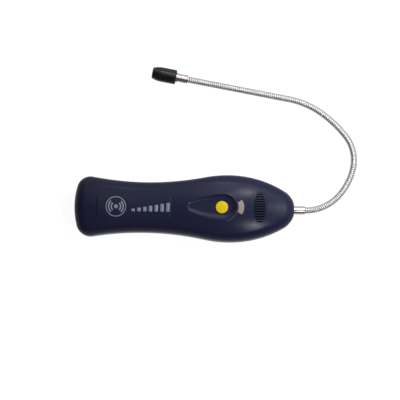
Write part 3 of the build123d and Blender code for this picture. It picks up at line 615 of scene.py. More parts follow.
@dataclass(frozen=True)
class BoardMask:
    """Green solder mask over copper tracks, with bare pads."""

    name: str = "board_mask"
    mask: Colour = srgb(24, 92, 52)
    track: Colour = srgb(44, 122, 70)
    pad: Colour = srgb(196, 178, 120)

    def make(self, effects: Effects) -> bpy.types.Material:
        """Build the material.

        Args:
            effects: The shared node groups.

        Returns:
            The new material.
        """
        material, graph, shader = open_material(self.name)
        place = graph.place()
        bricks = graph.add(
            "ShaderNodeTexBrick",
            {"Vector": graph.scale(place, 220.0), "Scale": 1.0, "Mortar Size": 0.07},
        ).outputs["Fac"]
        dots = graph.add(
            "ShaderNodeTexVoronoi", {"Vector": place, "Scale": 330.0}
        ).outputs["Distance"]
        pads = graph.ranged(dots, 0.10, 0.14, 1.0, 0.0)
        grain = effects.use(
            graph, effects.grain(), Place=place, Fine=0.3 * MM, Wave=2 * MM, Wave_Share=0.4
        )
        base = graph.mix(pads, graph.mix(bricks, self.mask, self.track), self.pad)
        height = graph.math("MULTIPLY_ADD", bricks, 0.6, grain.outputs["Height"])
        join(
            graph,
            shader,
            Base_Color=base,
            Metallic=graph.math("MULTIPLY", pads, 0.8),
            Roughness=graph.ranged(grain.outputs["Mottle"], 0, 1, 0.26, 0.36),
            Normal=graph.bump(height, 0.02 * MM),
        )
        return material


@dataclass(frozen=True)
class CellJacket:
    """Shrunk sleeve of one cell: a dark length, a warm band at one end, bare steel ends."""

    name: str
    negative_x: float
    positive_x: float
    nub: float = 1.7 * MM
    foot: float = 0.7 * MM
    band: float = 11.0 * MM
    sleeve: Colour = srgb(38, 42, 46)
    warm: Colour = srgb(176, 120, 66)
    steel: Colour = srgb(196, 196, 196)

    def make(self, effects: Effects) -> bpy.types.Material:
        """Build the material.

        Args:
            effects: The shared node groups.

        Returns:
            The new material.
        """
        material, graph, shader = open_material(self.name)
        place = graph.place()
        x, _, _ = graph.parts_of(place)
        way = 1.0 if self.positive_x > self.negative_x else -1.0
        length = abs(self.positive_x - self.negative_x)
        run = graph.math("MULTIPLY", graph.math("SUBTRACT", x, self.negative_x), way)
        band = graph.ranged(run, length - self.band, length - self.band + 0.15 * MM)
        head = graph.math("GREATER_THAN", run, length - self.nub)
        foot = graph.math("LESS_THAN", run, self.foot)
        bare = graph.math("MAXIMUM", head, foot)
        grain = effects.use(
            graph, effects.grain(), Place=place, Fine=0.4 * MM, Wave=4 * MM, Wave_Share=0.7
        )
        sleeve = graph.mix(band, self.sleeve, self.warm)
        rough = graph.ranged(grain.outputs["Mottle"], 0, 1, 0.22, 0.32)
        join(
            graph,
            shader,
            Base_Color=graph.mix(bare, sleeve, self.steel),
            Metallic=graph.math("MAXIMUM", bare, graph.math("MULTIPLY", band, 0.7)),
            Roughness=rough,
            Normal=graph.bump(grain.outputs["Height"], 0.008 * MM),
        )
        return material


def give(node: bpy.types.Object, material: bpy.types.Material) -> None:
    """Put a material in every slot of a CAD node."""
    for slot in node.material_slots:
        slot.material = material


def new_piece(name: str, mesh: bmesh.types.BMesh, material: bpy.types.Material) -> bpy.types.Object:
    """Turn a finished bmesh into an object with one material.

    Args:
        name: The piece's name.
        mesh: Its geometry, which is freed.
        material: Its finish.

    Returns:
        The new object, linked to the scene.
    """
    bmesh.ops.recalc_face_normals(mesh, faces=mesh.faces)
    data = bpy.data.meshes.new(name)
    mesh.to_mesh(data)
    mesh.free()
    data.materials.append(material)
    piece = bpy.data.objects.new(name, data)
    bpy.context.scene.collection.objects.link(piece)
    return piece


def bridge(
    mesh: bmesh.types.BMesh,
    near: list[bmesh.types.BMVert],
    far: list[bmesh.types.BMVert],
    smooth: bool = True,
) -> None:
    """Join two closed rings of as many vertices with a band of quads.

    Args:
        mesh: The mesh that holds them.
        near: One ring.
        far: The other ring, in the same order.
        smooth: Whether the band is shaded smooth.
    """
    count = len(near)
    for index in range(count):
        after = (index + 1) % count
        face = mesh.faces.new((near[index], near[after], far[after], far[index]))
        face.smooth = smooth


@dataclass
class FlexibleNeck:
    """Gooseneck wound from wire, bent in sections, with the sensor's cable inside it."""

    start_x: float = 115.0 * MM
    axis_z: float = 17.5 * MM
    section: float = 33.3 * MM
    turns: tuple[float, ...] = (45.0, 33.0, 51.0, 17.0, 24.0, 0.0, 0.0, 0.0)
    crest_r: float = 3.15 * MM
    bore_r: float = 1.7 * MM
    pitch: float = 1.9 * MM
    groove: float = 0.34 * MM
    seat: float = 5.0 * MM
    cable_r: float = 1.1 * MM
    cable_back: float = 35.0 * MM
    cable_front: float = 16.2 * MM
    around: int = 28
    cable_around: int = 14
    rings_per_turn: int = 14

    @property
    def length(self) -> float:
        """Length of the bent part."""
        return self.section * len(self.turns)

    def frame_at(self, distance: float) -> Matrix:
        """Find the cross frame at a distance along the centre line.

        Args:
            distance: Metres from the base ferrule's face; negative inside the body.

        Returns:
            A matrix whose X runs ahead, Y to the left and Z up.
        """
        place, heading = Vector((self.start_x, 0.0, self.axis_z)), 0.0
        left = distance
        for index, turn in enumerate(self.turns):
            last = index == len(self.turns) - 1
            straight = left < 0 or (last and left > self.section)
            step = left if left < 0 else min(left, self.section)
            bend = 0.0 if left < 0 else math.radians(turn) * step / self.section
            chord = step * math.sin(bend / 2) / (bend / 2) if bend else step
            way = heading + bend / 2
            place = place + chord * Vector((math.cos(way), math.sin(way), 0.0))
            heading += bend
            left -= step
            if straight or left <= 0:
                break
        if left > 0:
            place = place + left * Vector((math.cos(heading), math.sin(heading), 0.0))
        return Matrix.Translation(place) @ Matrix.Rotation(heading, 4, "Z")

    def groove_share(self, distance: float, angle: float) -> float:
        """Tell how deep the surface lies between two turns of the wire, 0 to 1."""
        phase = (distance / self.pitch - angle / (2 * math.pi)) % 1.0
        off_crest = abs(2 * phase - 1)
        drop = 1 - math.sqrt(1 - 0.98 * off_crest**2)
        return min(drop, 0.55) / 0.55

    def ring(
        self,
        mesh: bmesh.types.BMesh,
        distance: float,
        radius: float,
        count: int,
        wound: bool = False,
    ) -> list[bmesh.types.BMVert]:
        """Add one ring of vertices round the centre line.

        Args:
            mesh: The mesh that takes them.
            distance: Where along the centre line.
            radius: The ring's radius.
            count: How many vertices.
            wound: Whether the ring follows the wire's relief.

        Returns:
            The new vertices in order.
        """
        frame = self.frame_at(distance)
        layer = mesh.verts.layers.float.get("groove")
        ring = []
        for index in range(count):
            angle = 2 * math.pi * index / count
            share = self.groove_share(distance, angle) if wound else 0.0
            reach = radius - self.groove * share
            offset = Vector((0.0, reach * math.cos(angle), reach * math.sin(angle)))
            vertex = mesh.verts.new(frame @ offset)
            if layer is not None:
                vertex[layer] = share
            ring.append(vertex)
        return ring

    def coil_mesh(self, near: float, far: float) -> bmesh.types.BMesh:
        """Build one length of the wound tube, closed round its bore.

        Args:
            near: Where it starts along the centre line.
            far: Where it ends.

        Returns:
            The mesh.
        """
        mesh = bmesh.new()
        mesh.verts.layers.float.new("groove")
        steps = max(2, round((far - near) / self.pitch * self.rings_per_turn))
        outer = [
            self.ring(mesh, near + (far - near) * step / steps, self.crest_r, self.around, True)
            for step in range(steps + 1)
        ]
        for first, second in zip(outer, outer[1:]):
            bridge(mesh, first, second)
        lining = max(2, steps // 8)
        inner = [
            self.ring(mesh, near + (far - near) * step / lining, self.bore_r, self.around)
            for step in range(lining + 1)
        ]
        for first, second in zip(inner, inner[1:]):
            bridge(mesh, second, first)
        bridge(mesh, inner[0], outer[0], smooth=False)
        bridge(mesh, outer[-1], inner[-1], smooth=False)
        return mesh

    def cable_mesh(self, near: float, far: float) -> bmesh.types.BMesh:
        """Build one length of the cable, closed at both ends.

        Args:
            near: Where it starts along the centre line.
            far: Where it ends.

        Returns:
            The mesh.
        """
        mesh = bmesh.new()
        steps = max(2, round((far - near) / (1.5 * MM)))
        rings = [
            self.ring(mesh, near + (far - near) * step / steps, self.cable_r, self.cable_around)
            for step in range(steps + 1)
        ]
        for first, second in zip(rings, rings[1:]):
            bridge(mesh, first, second)
        mesh.faces.new(list(reversed(rings[0])))
        mesh.faces.new(rings[-1])
        return mesh

    def spans(self, back: float, front: float) -> list[tuple[float, float]]:
        """Split a run along the neck at the middle of each section.

        Args:
            back: How far the run reaches back from the neck's root.
            front: How far it reaches past the neck's end.

        Returns:
            Start and end of each piece.
        """
        count = len(self.turns)
        middles = [(index + 0.5) * self.section for index in range(count)]
        cuts = [-back, *middles, self.length + front]
        return list(zip(cuts, cuts[1:]))

    def mount(self, piece: bpy.types.Object, index: int, near: float, far: float) -> None:
        """Let a piece at either end ride on one body; a piece in between only has its transform baked.

        Args:
            piece: The piece.
            index: Its number from the root, from 0.
            near: Where it starts along the centre line.
            far: Where it ends.
        """
        count = len(self.turns)
        if index == 0:
            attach(piece, Body.HOUSING.value)
        elif index == count:
            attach(piece, Body.NECK_END.value)
        else:
            # From the outer body inwards: the other way round, the turn's pivot is lost
            # to rounding at some poses.
            Body.of_section(index + 1)
            Body.of_section(index)
            self.frame_at(far).translation
            self.frame_at(near).translation
            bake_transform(piece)

    def build(self, steel: bpy.types.Material, rubber: bpy.types.Material) -> None:
        """Build the wound tube and the cable, piece by piece.

        Args:
            steel: Finish of the tube.
            rubber: Finish of the cable.
        """
        count = len(self.turns)
        for index, (near, far) in enumerate(self.spans(self.seat, self.seat)):
            piece = new_piece(f"neck_coil_{index + 1}", self.coil_mesh(near, far), steel)
            self.mount(piece, index, near, far)
            sections = {max(index, 1), min(index + 1, count)}
            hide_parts(*(f"neck_section_{number}" for number in sorted(sections)))
            LOG.info("%s spans %.0f to %.0f mm", piece.name, near / MM, far / MM)
        for index, (near, far) in enumerate(self.spans(self.cable_back, self.cable_front)):
            piece = new_piece(f"cable_run_{index + 1}", self.cable_mesh(near, far), rubber)
            self.mount(piece, index, near, far)
            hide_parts("sensor_cable")
            LOG.info("%s spans %.0f to %.0f mm", piece.name, near / MM, far / MM)


@dataclass
class FacePrint:
    """Clear film on the handle with a plain pictogram and a row of rising bars."""

    film_back: float = -84.0 * MM
    film_front: float = -13.4 * MM
    film_half: float = 9.8 * MM
    film_corner: float = 1.2 * MM
    middle_y: float = -1.0 * MM
    film_proud: float = 0.05 * MM
    ink_proud: float = 0.09 * MM
    sunk: float = 0.03 * MM
    emblem_x: float = -65.7 * MM
    emblem_r: float = 9.7 * MM
    emblem_line: float = 0.9 * MM
    arc_radii: tuple[float, ...] = (4.4 * MM, 6.9 * MM)
    arc_line: float = 1.5 * MM
    arc_half: float = 48.0
    dot_r: float = 2.0 * MM
    bars: int = 7
    bars_back: float = -51.0 * MM
    bars_front: float = -14.6 * MM
    bar_share: float = 0.62
    bar_low: float = 2.4 * MM
    bar_high: float = 8.4 * MM
    cell: float = 1.2 * MM

    def __post_init__(self) -> None:
        """Read the face that the print lies on."""
        data = bpy.data.objects["upper_housing"].data
        faces = [tuple(face.vertices) for face in data.polygons]
        self.face = BVHTree.FromPolygons([vertex.co for vertex in data.vertices], faces)

    def draped(self, x: float, y: float, proud: float) -> Vector:
        """Find the point that stands proud of the face above a plan point.

        Args:
            x: Plan position along the body.
            y: Plan position across it.
            proud: Height over the face, along its normal.

        Returns:
            The point.
        """
        hit, normal, _, _ = self.face.ray_cast(Vector((x, y, 0.1)), Vector((0, 0, -1)))
        return hit + normal * proud

    def sheet(
        self,
        mesh: bmesh.types.BMesh,
        grid: list[list[tuple[float, float]]],
        proud: float,
        closed: bool = False,
    ) -> None:
        """Add a thin closed layer over a grid of plan points.

        Args:
            mesh: The mesh that takes it.
            grid: Rows of plan points.
            proud: How far its top stands over the face.
            closed: Whether the last row joins the first.
        """
        levels = [
            [[mesh.verts.new(self.draped(x, y, level)) for x, y in row] for row in grid]
            for level in (proud, -self.sunk)
        ]
        rows, columns = len(grid), len(grid[0])
        pairs = [(row, (row + 1) % rows) for row in range(rows if closed else rows - 1)]
        for level in levels:
            for row, after in pairs:
                for column in range(columns - 1):
                    face = mesh.faces.new(
                        (
                            level[row][column],
                            level[row][column + 1],
                            level[after][column + 1],
                            level[after][column],
                        )
                    )
                    face.smooth = True
        top, bottom = levels
        for row, after in pairs:
            for column in (0, -1):
                mesh.faces.new(
                    (top[row][column], top[after][column], bottom[after][column], bottom[row][column])
                )
        if not closed:
            for row in (0, -1):
                for column in range(columns - 1):
                    mesh.faces.new(
                        (
                            top[row][column],
                            top[row][column + 1],
                            bottom[row][column + 1],
                            bottom[row][column],
                        )
                    )

    def slab(
        self, x0: float, x1: float, y0: float, y1: float, corner: float = 0.0
    ) -> list[list[tuple[float, float]]]:
        """Lay out the plan points of a rectangle with rounded corners.

        Args:
            x0: Low end along the body.
            x1: High end along the body.
            y0: Low side.
            y1: High side.
            corner: Radius of the corners.

        Returns:
            Rows of plan points, each along the body.
        """
        across = [0.0]
        if corner:
            across = [corner * (1 - math.cos(math.radians(step))) for step in (0, 22, 45, 67)]
        body_rows = max(2, round((y1 - y0 - 2 * corner) / self.cell))
        ys = [y0 + rise for rise in across]
        ys += [
            y0 + corner + (y1 - y0 - 2 * corner) * step / body_rows
            for step in range(1 if not corner else 0, body_rows + (1 if corner else 0))
        ]
        ys += [y1 - rise for rise in reversed(across)]
        columns = max(2, round((x1 - x0) / self.cell))
        rows = []
        for y in ys:
            edge = corner - min(corner, y - y0, y1 - y)
            inset = corner - math.sqrt(max(0.0, corner**2 - edge**2))
            left, right = x0 + inset, x1 - inset
            rows.append([(left + (right - left) * step / columns, y) for step in range(columns + 1)])
        return rows

    def band(
        self, inner: float, outer: float, low: float, high: float
    ) -> list[list[tuple[float, float]]]:
        """Lay out the plan points of a ring, or of an arc of it, round the emblem's middle.

        Args:
            inner: Inner radius.
            outer: Outer radius.
            low: Where the arc starts, in degrees.
            high: Where it ends; 360 degrees on makes a ring.

        Returns:
            Rows of plan points, each across the line.
        """
        steps = max(8, round(math.radians(high - low) * outer / (0.8 * MM)))
        rows = []
        for step in range(steps if high - low >= 360 else steps + 1):
            angle = math.radians(low + (high - low) * step / steps)
            rows.append(
                [
                    (
                        self.emblem_x + radius * math.cos(angle),
                        self.middle_y + radius * math.sin(angle),
                    )
                    for radius in (inner, (inner + outer) / 2, outer)
                ]
            )
        return rows

    def emblem(self) -> bmesh.types.BMesh:
        """Build a dot between arcs, in a ring."""
        mesh = bmesh.new()
        ring_in = self.emblem_r - self.emblem_line
        self.sheet(mesh, self.band(ring_in, self.emblem_r, 0, 360), self.ink_proud, True)
        for radius in self.arc_radii:
            for side in (0, 180):
                span = self.band(
                    radius - self.arc_line / 2,
                    radius + self.arc_line / 2,
                    side - self.arc_half,
                    side + self.arc_half,
                )
                self.sheet(mesh, span, self.ink_proud)
        self.sheet(mesh, self.band(0.05 * self.dot_r, self.dot_r, 0, 360), self.ink_proud, True)
        return mesh

    def rising_bars(self) -> bmesh.types.BMesh:
        """Build the row of bars, each higher than the one behind it."""
        mesh = bmesh.new()
        pitch = (self.bars_front - self.bars_back) / (self.bars - 1 + self.bar_share)
        foot = self.middle_y - self.bar_high / 2
        for index in range(self.bars):
            back = self.bars_back + index * pitch
            height = self.bar_low + (self.bar_high - self.bar_low) * index / (self.bars - 1)
            grid = self.slab(back, back + pitch * self.bar_share, foot, foot + height, 0.35 * MM)
            self.sheet(mesh, grid, self.ink_proud)
        return mesh

    def build(self, film: bpy.types.Material, ink: bpy.types.Material) -> None:
        """Build the film and what is printed on it.

        Args:
            film: Finish of the film.
            ink: Finish of the print.
        """
        mesh = bmesh.new()
        low, high = self.middle_y - self.film_half, self.middle_y + self.film_half
        grid = self.slab(self.film_back, self.film_front, low, high, self.film_corner)
        self.sheet(mesh, grid, self.film_proud)
        pieces = (
            new_piece("print_film", mesh, film),
            new_piece("print_emblem", self.emblem(), ink),
            new_piece("print_bars", self.rising_bars(), ink),
        )
        for piece in pieces:
            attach(piece, Body.HOUSING.value)
            LOG.info("%s lies on the face", piece.name)


@dataclass
class HandHousing:
    """The two halves, the battery cover and the screws that hold them."""

    def dress(self, nodes: dict[str, bpy.types.Object], effects: Effects) -> None:
        """Give the shell its finishes.

        Args:
            nodes: CAD nodes by name.
            effects: The shared node groups.
        """
        shell = HousingPlastic(
            "navy_shell",
            srgb(33, 37, 65),
            srgb(32, 36, 63),
            roughness=0.27,
            spread=0.02,
            specular=0.16,
            scuffing=0.0,
        ).make(effects)
        for name in ("upper_housing", "lower_housing", "battery_cover"):
            give(nodes[name], shell)
        steel = TurnedMetal("screw_steel", srgb(150, 150, 152), (0.0, 0.0, 1.0), 0.3).make(effects)
        for name in ("housing_screws", "board_screws"):
            give(nodes[name], steel)
        LOG.info("housing dressed")


@dataclass
class Controls:
    """Button, indicator window, and the sounder behind its grille and a near-black felt cloth, which also
    stands in for the shade inside the slots as painted shade.
    """

    cloth_x: float = 70.75 * MM
    cloth_half_x: float = 6.9 * MM
    cloth_half_y: float = 14.2 * MM
    cloth_cut: float = 4.0 * MM
    cloth_low: float = 31.7 * MM
    cloth_high: float = 33.9 * MM

    def cloth_ring(self, mesh: bmesh.types.BMesh, level: float) -> list[bmesh.types.BMVert]:
        """Add the cloth's outline, a rectangle with its corners cut off.

        Args:
            mesh: The mesh that takes it.
            level: Its height.

        Returns:
            The vertices in order.
        """
        corner = (
            (self.cloth_half_x, self.cloth_half_y - self.cloth_cut),
            (self.cloth_half_x - self.cloth_cut, self.cloth_half_y),
        )
        quarters = ((1, 1, corner), (-1, 1, corner[::-1]), (-1, -1, corner), (1, -1, corner[::-1]))
        return [
            mesh.verts.new((self.cloth_x + ahead * x, aside * y, level))
            for ahead, aside, points in quarters
            for x, y in points
        ]

    def build_shade_cloth(self, shade_felt: bpy.types.Material) -> None:
        """Lay the felt that keeps dust out of the grille; near-black, it also paints the shade inside the
        slots.
        """
        mesh = bmesh.new()
        low, high = (self.cloth_ring(mesh, level) for level in (self.cloth_low, self.cloth_high))
        bridge(mesh, low, high, smooth=False)
        mesh.faces.new(low[::-1])
        mesh.faces.new(high)
        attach(new_piece("grille_shade_cloth", mesh, shade_felt), Body.HOUSING.value)
        LOG.info("grille_shade_cloth lies under the grille")

    def dress(self, nodes: dict[str, bpy.types.Object], effects: Effects) -> None:
        """Give the controls their finishes.

        Args:
            nodes: CAD nodes by name.
            effects: The shared node groups.
        """
        yellow = MouldedPlastic(
            "button_yellow",
            srgb(236, 208, 20),
            srgb(228, 198, 14),
            roughness=0.5,
            specular=0.2,
            fine=0.25 * MM,
            scuffing=0.3,
            scuff_colour=srgb(186, 160, 40),
        )
        give(nodes["power_button"], yellow.make(effects))
        give(nodes["indicator_lens"], FrostedLens().make(effects))
        sounder = MouldedPlastic("sounder_black", srgb(22, 22, 24), srgb(16, 16, 18), scuffing=0.0)
        give(nodes["sounder"], sounder.make(effects))
        # Near-black felt under the grille: partly a real dust cloth, partly a dark sheet for the painted
        # shade inside the slots.
        shade_felt = MouldedPlastic(
            "shade_felt_black", srgb(14, 14, 17), srgb(10, 10, 12), 0.9, relief=0.05 * MM, specular=0.1,
            scuffing=0.0,
        )
        self.build_shade_cloth(shade_felt.make(effects))
        LOG.info("controls dressed")


@dataclass
class Electronics:
    """Board and the parts on it, seen only where a cover or a slot opens."""

    def dress(self, nodes: dict[str, bpy.types.Object], effects: Effects) -> None:
        """Give the electronics their finishes.

        Args:
            nodes: CAD nodes by name.
            effects: The shared node groups.
        """
        give(nodes["circuit_board"], BoardMask().make(effects))
        plastics = {
            "button_switch": (srgb(30, 30, 32), 0.5),
            "switch_plunger": (srgb(224, 222, 214), 0.45),
            "microcontroller": (srgb(26, 27, 29), 0.6),
            "inductor": (srgb(34, 33, 32), 0.55),
            "chip_components": (srgb(120, 104, 82), 0.5),
            "battery_connector": (srgb(226, 220, 200), 0.4),
            "sensor_connector": (srgb(226, 220, 200), 0.4),
            "status_leds": (srgb(236, 232, 206), 0.3),
            "sensor_holder": (srgb(40, 40, 42), 0.45),
            "battery_leads": (srgb(150, 26, 22), 0.4),
        }
        for name, (colour, roughness) in plastics.items():
            shade = tuple(0.85 * value for value in colour[:3]) + (1.0,)
            finish = MouldedPlastic(f"{name}_finish", colour, shade, roughness, scuffing=0.1)
            give(nodes[name], finish.make(effects))
        can = TurnedMetal("capacitor_can", srgb(190, 192, 196), (0.0, 0.0, 1.0), 0.3)
        give(nodes["capacitors"], can.make(effects))
        LOG.info("electronics dressed")


@dataclass
class BatteryBay:
    """Tray, contacts and four cells in two rows that face opposite ways."""

    cells_forward: tuple[int, ...] = (1, 2)
    cells_backward: tuple[int, ...] = (3, 4)

    def dress(self, nodes: dict[str, bpy.types.Object], effects: Effects) -> None:
        """Give the battery bay its finishes.

        Args:
            nodes: CAD nodes by name.
            effects: The shared node groups.
        """
        tray = MouldedPlastic("tray_grey", srgb(66, 68, 74), srgb(56, 58, 64), 0.5)
        give(nodes["battery_tray"], tray.make(effects))
        contact = TurnedMetal("contact_nickel", srgb(206, 202, 190), (1.0, 0.0, 0.0), 0.24)
        metal = contact.make(effects)
        for name in ("contact_plates", "contact_springs"):
            give(nodes[name], metal)
        for number in self.cells_forward + self.cells_backward:
            low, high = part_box(f"cell_{number}")
            ends = (low.x, high.x) if number in self.cells_forward else (high.x, low.x)
            jacket = CellJacket(f"cell_jacket_{number}", ends[0], ends[1])
            give(nodes[f"cell_{number}"], jacket.make(effects))
        LOG.info("battery bay dressed")


@dataclass
class NeckEnds:
    """Ferrules at both ends of the neck, their hardware, the sensor and its hood."""

    tip_heading: float = 170.0

    def dress(self, nodes: dict[str, bpy.types.Object], effects: Effects) -> None:
        """Give the ends of the neck their finishes.

        Args:
            nodes: CAD nodes by name.
            effects: The shared node groups.
        """
        tip = math.radians(self.tip_heading)
        axis = (math.cos(tip), math.sin(tip), 0.0)
        bright = srgb(206, 205, 204)
        give(nodes["neck_base_ferrule"], TurnedMetal("base_ferrule", bright).make(effects))
        give(nodes["neck_tip_ferrule"], TurnedMetal("tip_ferrule", bright, axis).make(effects))
        plain = TurnedMetal("nut_steel", srgb(170, 170, 172), roughness=0.28).make(effects)
        for name in ("neck_washer", "neck_lock_nut"):
            give(nodes[name], plain)
        give(nodes["sensor"], TurnedMetal("sensor_can", srgb(200, 198, 190), axis, 0.25).make(effects))
        hood = MouldedPlastic(
            "hood_black",
            srgb(22, 22, 25),
            srgb(18, 18, 21),
            specular=0.4,
            roughness=0.13,
            spread=0.04,
            relief=0.001 * MM,
            scuffing=0.35,
            scuff_colour=srgb(70, 70, 74),
        )
        give(nodes["sensor_hood"], hood.make(effects))
        LOG.info("neck ends dressed")


@dataclass
class SoftLamp:
    """A soft box that faces one spot of the object."""

    name: str
    spot: tuple[float, float, float]
    way: tuple[float, float, float]
    distance: float
    power: float
    size: tuple[float, float]
    mirrored: bool = True

    def build(self) -> None:
        """Make the lamp and aim it."""
        light = bpy.data.lights.new(self.name, "AREA")
        light.shape = "RECTANGLE"
        light.energy, (light.size, light.size_y) = self.power, self.size
        lamp = bpy.data.objects.new(self.name, light)
        way = Vector(self.way).normalized()
        lamp.location = Vector(self.spot) + way * self.distance
        lamp.rotation_mode = "QUATERNION"
        lamp.rotation_quaternion = way.to_track_quat("Z", "Y")
        lamp.visible_camera = False
        lamp.visible_glossy = self.mirrored
        bpy.context.scene.collection.objects.link(lamp)


@dataclass
class Studio:
    """White floor, soft lamps, and a camera almost straight above the object."""

    view_x: float = 14.07 * MM
    view_y: float = 8.12 * MM
    view_z: float = 17.5 * MM
    view_width: float = 384.0 * MM
    distance: float = 1.5
    tilt: float = 5.0
    roll: float = 1.105
    sensor: float = 36.0
    floor_r: float = 3.0
    floor_drop: float = 0.1 * MM
    floor_rings: int = 5
    floor_sides: int = 64
    floor_glow: float = 0.94
    floor_mirrored: float = 0.5
    floor_fill: float = 0.4
    sky_low: float = 0.06
    sky_high: float = 0.18
    bright_side: tuple[float, float, float] = (0.55, 0.835, 0.0)
    side_lift: float = 0.25
    room: float = 0.16
    room_colour: Colour = srgb(255, 214, 210)
    window: float = 1.0
    lamps: tuple[SoftLamp, ...] = (
        SoftLamp(
            "lamp_left", (57 * MM, 15 * MM, 38 * MM), (0.165, 0.524, 0.836), 0.5, 0.40, (0.065, 0.065)
        ),
        SoftLamp(
            "lamp_right", (64 * MM, -15 * MM, 38 * MM), (0.264, -0.451, 0.853), 0.5, 0.62, (0.065, 0.065)
        ),
        SoftLamp(
            "lamp_front", (90 * MM, 0.0, 36 * MM), (0.522, 0.105, 0.846), 0.5, 0.20, (0.09, 0.09)
        ),
        SoftLamp(
            "panel_front",
            (60 * MM, 0.0, 38 * MM),
            (0.50, 0.50, 0.70),
            0.26,
            0.22,
            (0.26, 0.26),
            False,
        ),
        SoftLamp(
            "lamp_hood", (-19 * MM, 131 * MM, 24 * MM), (0.075, 0.63, 0.775), 0.4, 0.11, (0.12, 0.02)
        ),
        SoftLamp(
            "box_far", (75 * MM, 140 * MM, 18 * MM), (0.0, 0.0, 1.0), 0.18, 0.08, (0.20, 0.125)
        ),
        SoftLamp(
            "box_bend", (235 * MM, 65 * MM, 18 * MM), (0.0, 0.0, 1.0), 0.18, 0.08, (0.12, 0.20)
        ),
    )

    def camera(self) -> None:
        """Make the camera, tilted towards the object's right side and rolled a little."""
        tilt, roll = math.radians(self.tilt), math.radians(self.roll)
        back = Vector((0.0, -math.sin(tilt), math.cos(tilt)))
        across = Vector((1.0, 0.0, 0.0))
        upward = Vector((0.0, math.cos(tilt), math.sin(tilt)))
        right = math.cos(roll) * across + math.sin(roll) * upward
        up = math.cos(roll) * upward - math.sin(roll) * across
        data = bpy.data.cameras.new("camera")
        data.sensor_width = self.sensor
        data.lens = self.sensor * self.distance / self.view_width
        data.clip_start, data.clip_end = 0.05, 20.0
        camera = bpy.data.objects.new("camera", data)
        place = Vector((self.view_x, self.view_y, self.view_z)) + back * self.distance
        camera.matrix_world = Matrix(
            [[right[i], up[i], back[i], place[i]] for i in range(3)] + [[0, 0, 0, 1]]
        )
        bpy.context.scene.collection.objects.link(camera)
        bpy.context.scene.camera = camera

    def seen(self, graph: Graph, mirrored: float = 1.0) -> object:
        """Tell the rays that come from the camera, a reflection or a transmission.

        Args:
            graph: The graph that asks.
            mirrored: What a reflection counts for.

        Returns:
            1 for the camera and a transmission, that share for a reflection, or else 0.
        """
        path = graph.add("ShaderNodeLightPath").outputs
        glossy = graph.math("MULTIPLY", path["Is Glossy Ray"], mirrored)
        through = graph.math("MAXIMUM", path["Is Camera Ray"], path["Is Transmission Ray"])
        return graph.math("MAXIMUM", through, glossy)

    def world(self) -> None:
        """Light the scene from all round: a white horizon, a bright side and a dark ceiling."""
        world = bpy.data.worlds.new("studio")
        world.use_nodes = True
        bpy.context.scene.world = world
        graph = Graph(world.node_tree)
        background = world.node_tree.nodes["Background"]
        way = graph.add("ShaderNodeTexCoord").outputs["Generated"]
        _, _, height = graph.parts_of(way)
        facing = graph.vector("DOT_PRODUCT", way, self.bright_side, output="Value")
        share = graph.ranged(facing, -0.15, 0.35)
        window = graph.ranged(share, 0.0, 1.0, self.room, self.window, Interpolation.EVEN)
        camera = graph.add("ShaderNodeLightPath").outputs["Is Camera Ray"]
        plain = graph.math("MAXIMUM", graph.ranged(height, 0.0, 0.06, 1.0, 0.0), camera)
        backdrop = graph.math("MAXIMUM", plain, window)
        sky = graph.ranged(height, -0.2, 0.9, self.sky_low, self.sky_high)
        lift = graph.math("MULTIPLY_ADD", facing, self.side_lift, 1.0)
        strength = graph.add(
            "ShaderNodeMix",
            {0: self.seen(graph), 2: graph.math("MULTIPLY", sky, lift), 3: backdrop},
            data_type="FLOAT",
        ).outputs[0]
        graph.tree.links.new(strength, background.inputs["Strength"])
        white = (1.0, 1.0, 1.0, 1.0)
        bright = graph.math("MAXIMUM", share, plain)
        tint = graph.mix(bright, self.room_colour, white)
        graph.tree.links.new(tint, background.inputs["Color"])

    def floor_material(self) -> bpy.types.Material:
        """Build the floor's white paper, which is clear from below.

        Returns:
            The new material.
        """
        material, graph, paper = open_material("paper")
        grain = graph.noise(graph.place(), 300.0, 3.0)
        join(
            graph,
            paper,
            Base_Color=graph.mix(grain, srgb(126, 126, 126), srgb(130, 130, 130)),
            Roughness=0.9,
            Specular_IOR_Level=0.0,
        )
        glow = graph.math("MULTIPLY", self.seen(graph, self.floor_mirrored), self.floor_glow)
        glow = graph.math("MAXIMUM", glow, self.floor_fill)
        shine = graph.add("ShaderNodeEmission", {"Strength": glow}).outputs[0]
        lit = graph.add("ShaderNodeAddShader", {0: paper.outputs[0], 1: shine}).outputs[0]
        below = graph.add("ShaderNodeNewGeometry").outputs["Backfacing"]
        clear = graph.add("ShaderNodeBsdfTransparent").outputs[0]
        blend = graph.add("ShaderNodeMixShader", {0: below, 1: lit, 2: clear}).outputs[0]
        output = graph.tree.nodes["Material Output"]
        graph.tree.links.new(blend, output.inputs["Surface"])
        return material

    def floor(self) -> None:
        """Lay a round floor under the object, in rings that widen outwards."""
        mesh = bmesh.new()
        rings = []
        for index in range(self.floor_rings):
            radius = self.floor_r * ((index + 1) / self.floor_rings) ** 2
            ring = []
            for step in range(self.floor_sides):
                angle = 2 * math.pi * step / self.floor_sides
                place = (radius * math.cos(angle), radius * math.sin(angle), -self.floor_drop)
                ring.append(mesh.verts.new(place))
            rings.append(ring)
        mesh.faces.new(rings[0])
        for first, second in zip(rings, rings[1:]):
            bridge(mesh, second, first, smooth=False)
        mesh.normal_update()
        for face in mesh.faces:
            if face.normal.z < 0:
                face.normal_flip()
        data = bpy.data.meshes.new("floor")
        mesh.to_mesh(data)
        mesh.free()
        data.materials.append(self.floor_material())
        floor = bpy.data.objects.new("floor", data)
        bpy.context.scene.collection.objects.link(floor)

    def build(self) -> None:
        """Set up the camera, the light and the floor."""
        self.camera()
        self.world()
        for lamp in self.lamps:
            lamp.build()
        self.floor()
        bpy.context.scene.view_settings.view_transform = "Standard"
        LOG.info("studio ready")


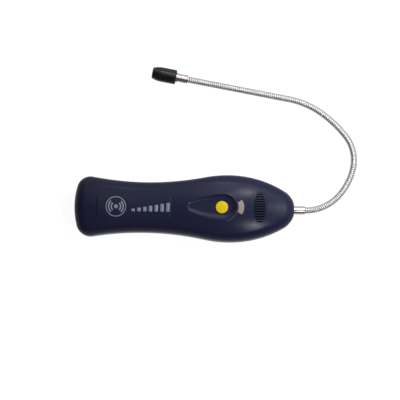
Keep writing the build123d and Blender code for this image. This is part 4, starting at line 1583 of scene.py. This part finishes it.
def main() -> None:
    """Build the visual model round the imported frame."""
    logging.basicConfig(level=logging.INFO, format="%(name)s: %(message)s")
    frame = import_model()
    nodes = frame["nodes"]
    effects = Effects()
    Studio().build()
    for assembly in (HandHousing(), Controls(), Electronics(), BatteryBay(), NeckEnds()):
        assembly.dress(nodes, effects)
    rubber = MouldedPlastic("cable_rubber", srgb(34, 34, 36), srgb(28, 28, 30), 0.55)
    FlexibleNeck().build(CoilSteel().make(effects), rubber.make(effects))
    film = MouldedPlastic(
        "film_navy", srgb(31, 35, 61), srgb(30, 34, 59), roughness=0.34, spread=0.02, specular=0.2,
        scuffing=0.0,
    )
    ink = MouldedPlastic(
        "ink_pale", srgb(140, 153, 172), srgb(128, 141, 162), roughness=0.5, scuffing=0.5,
        scuff_colour=srgb(96, 104, 124),
    )
    FacePrint().build(film.make(effects), ink.make(effects))


if __name__ == "__main__":
    main()
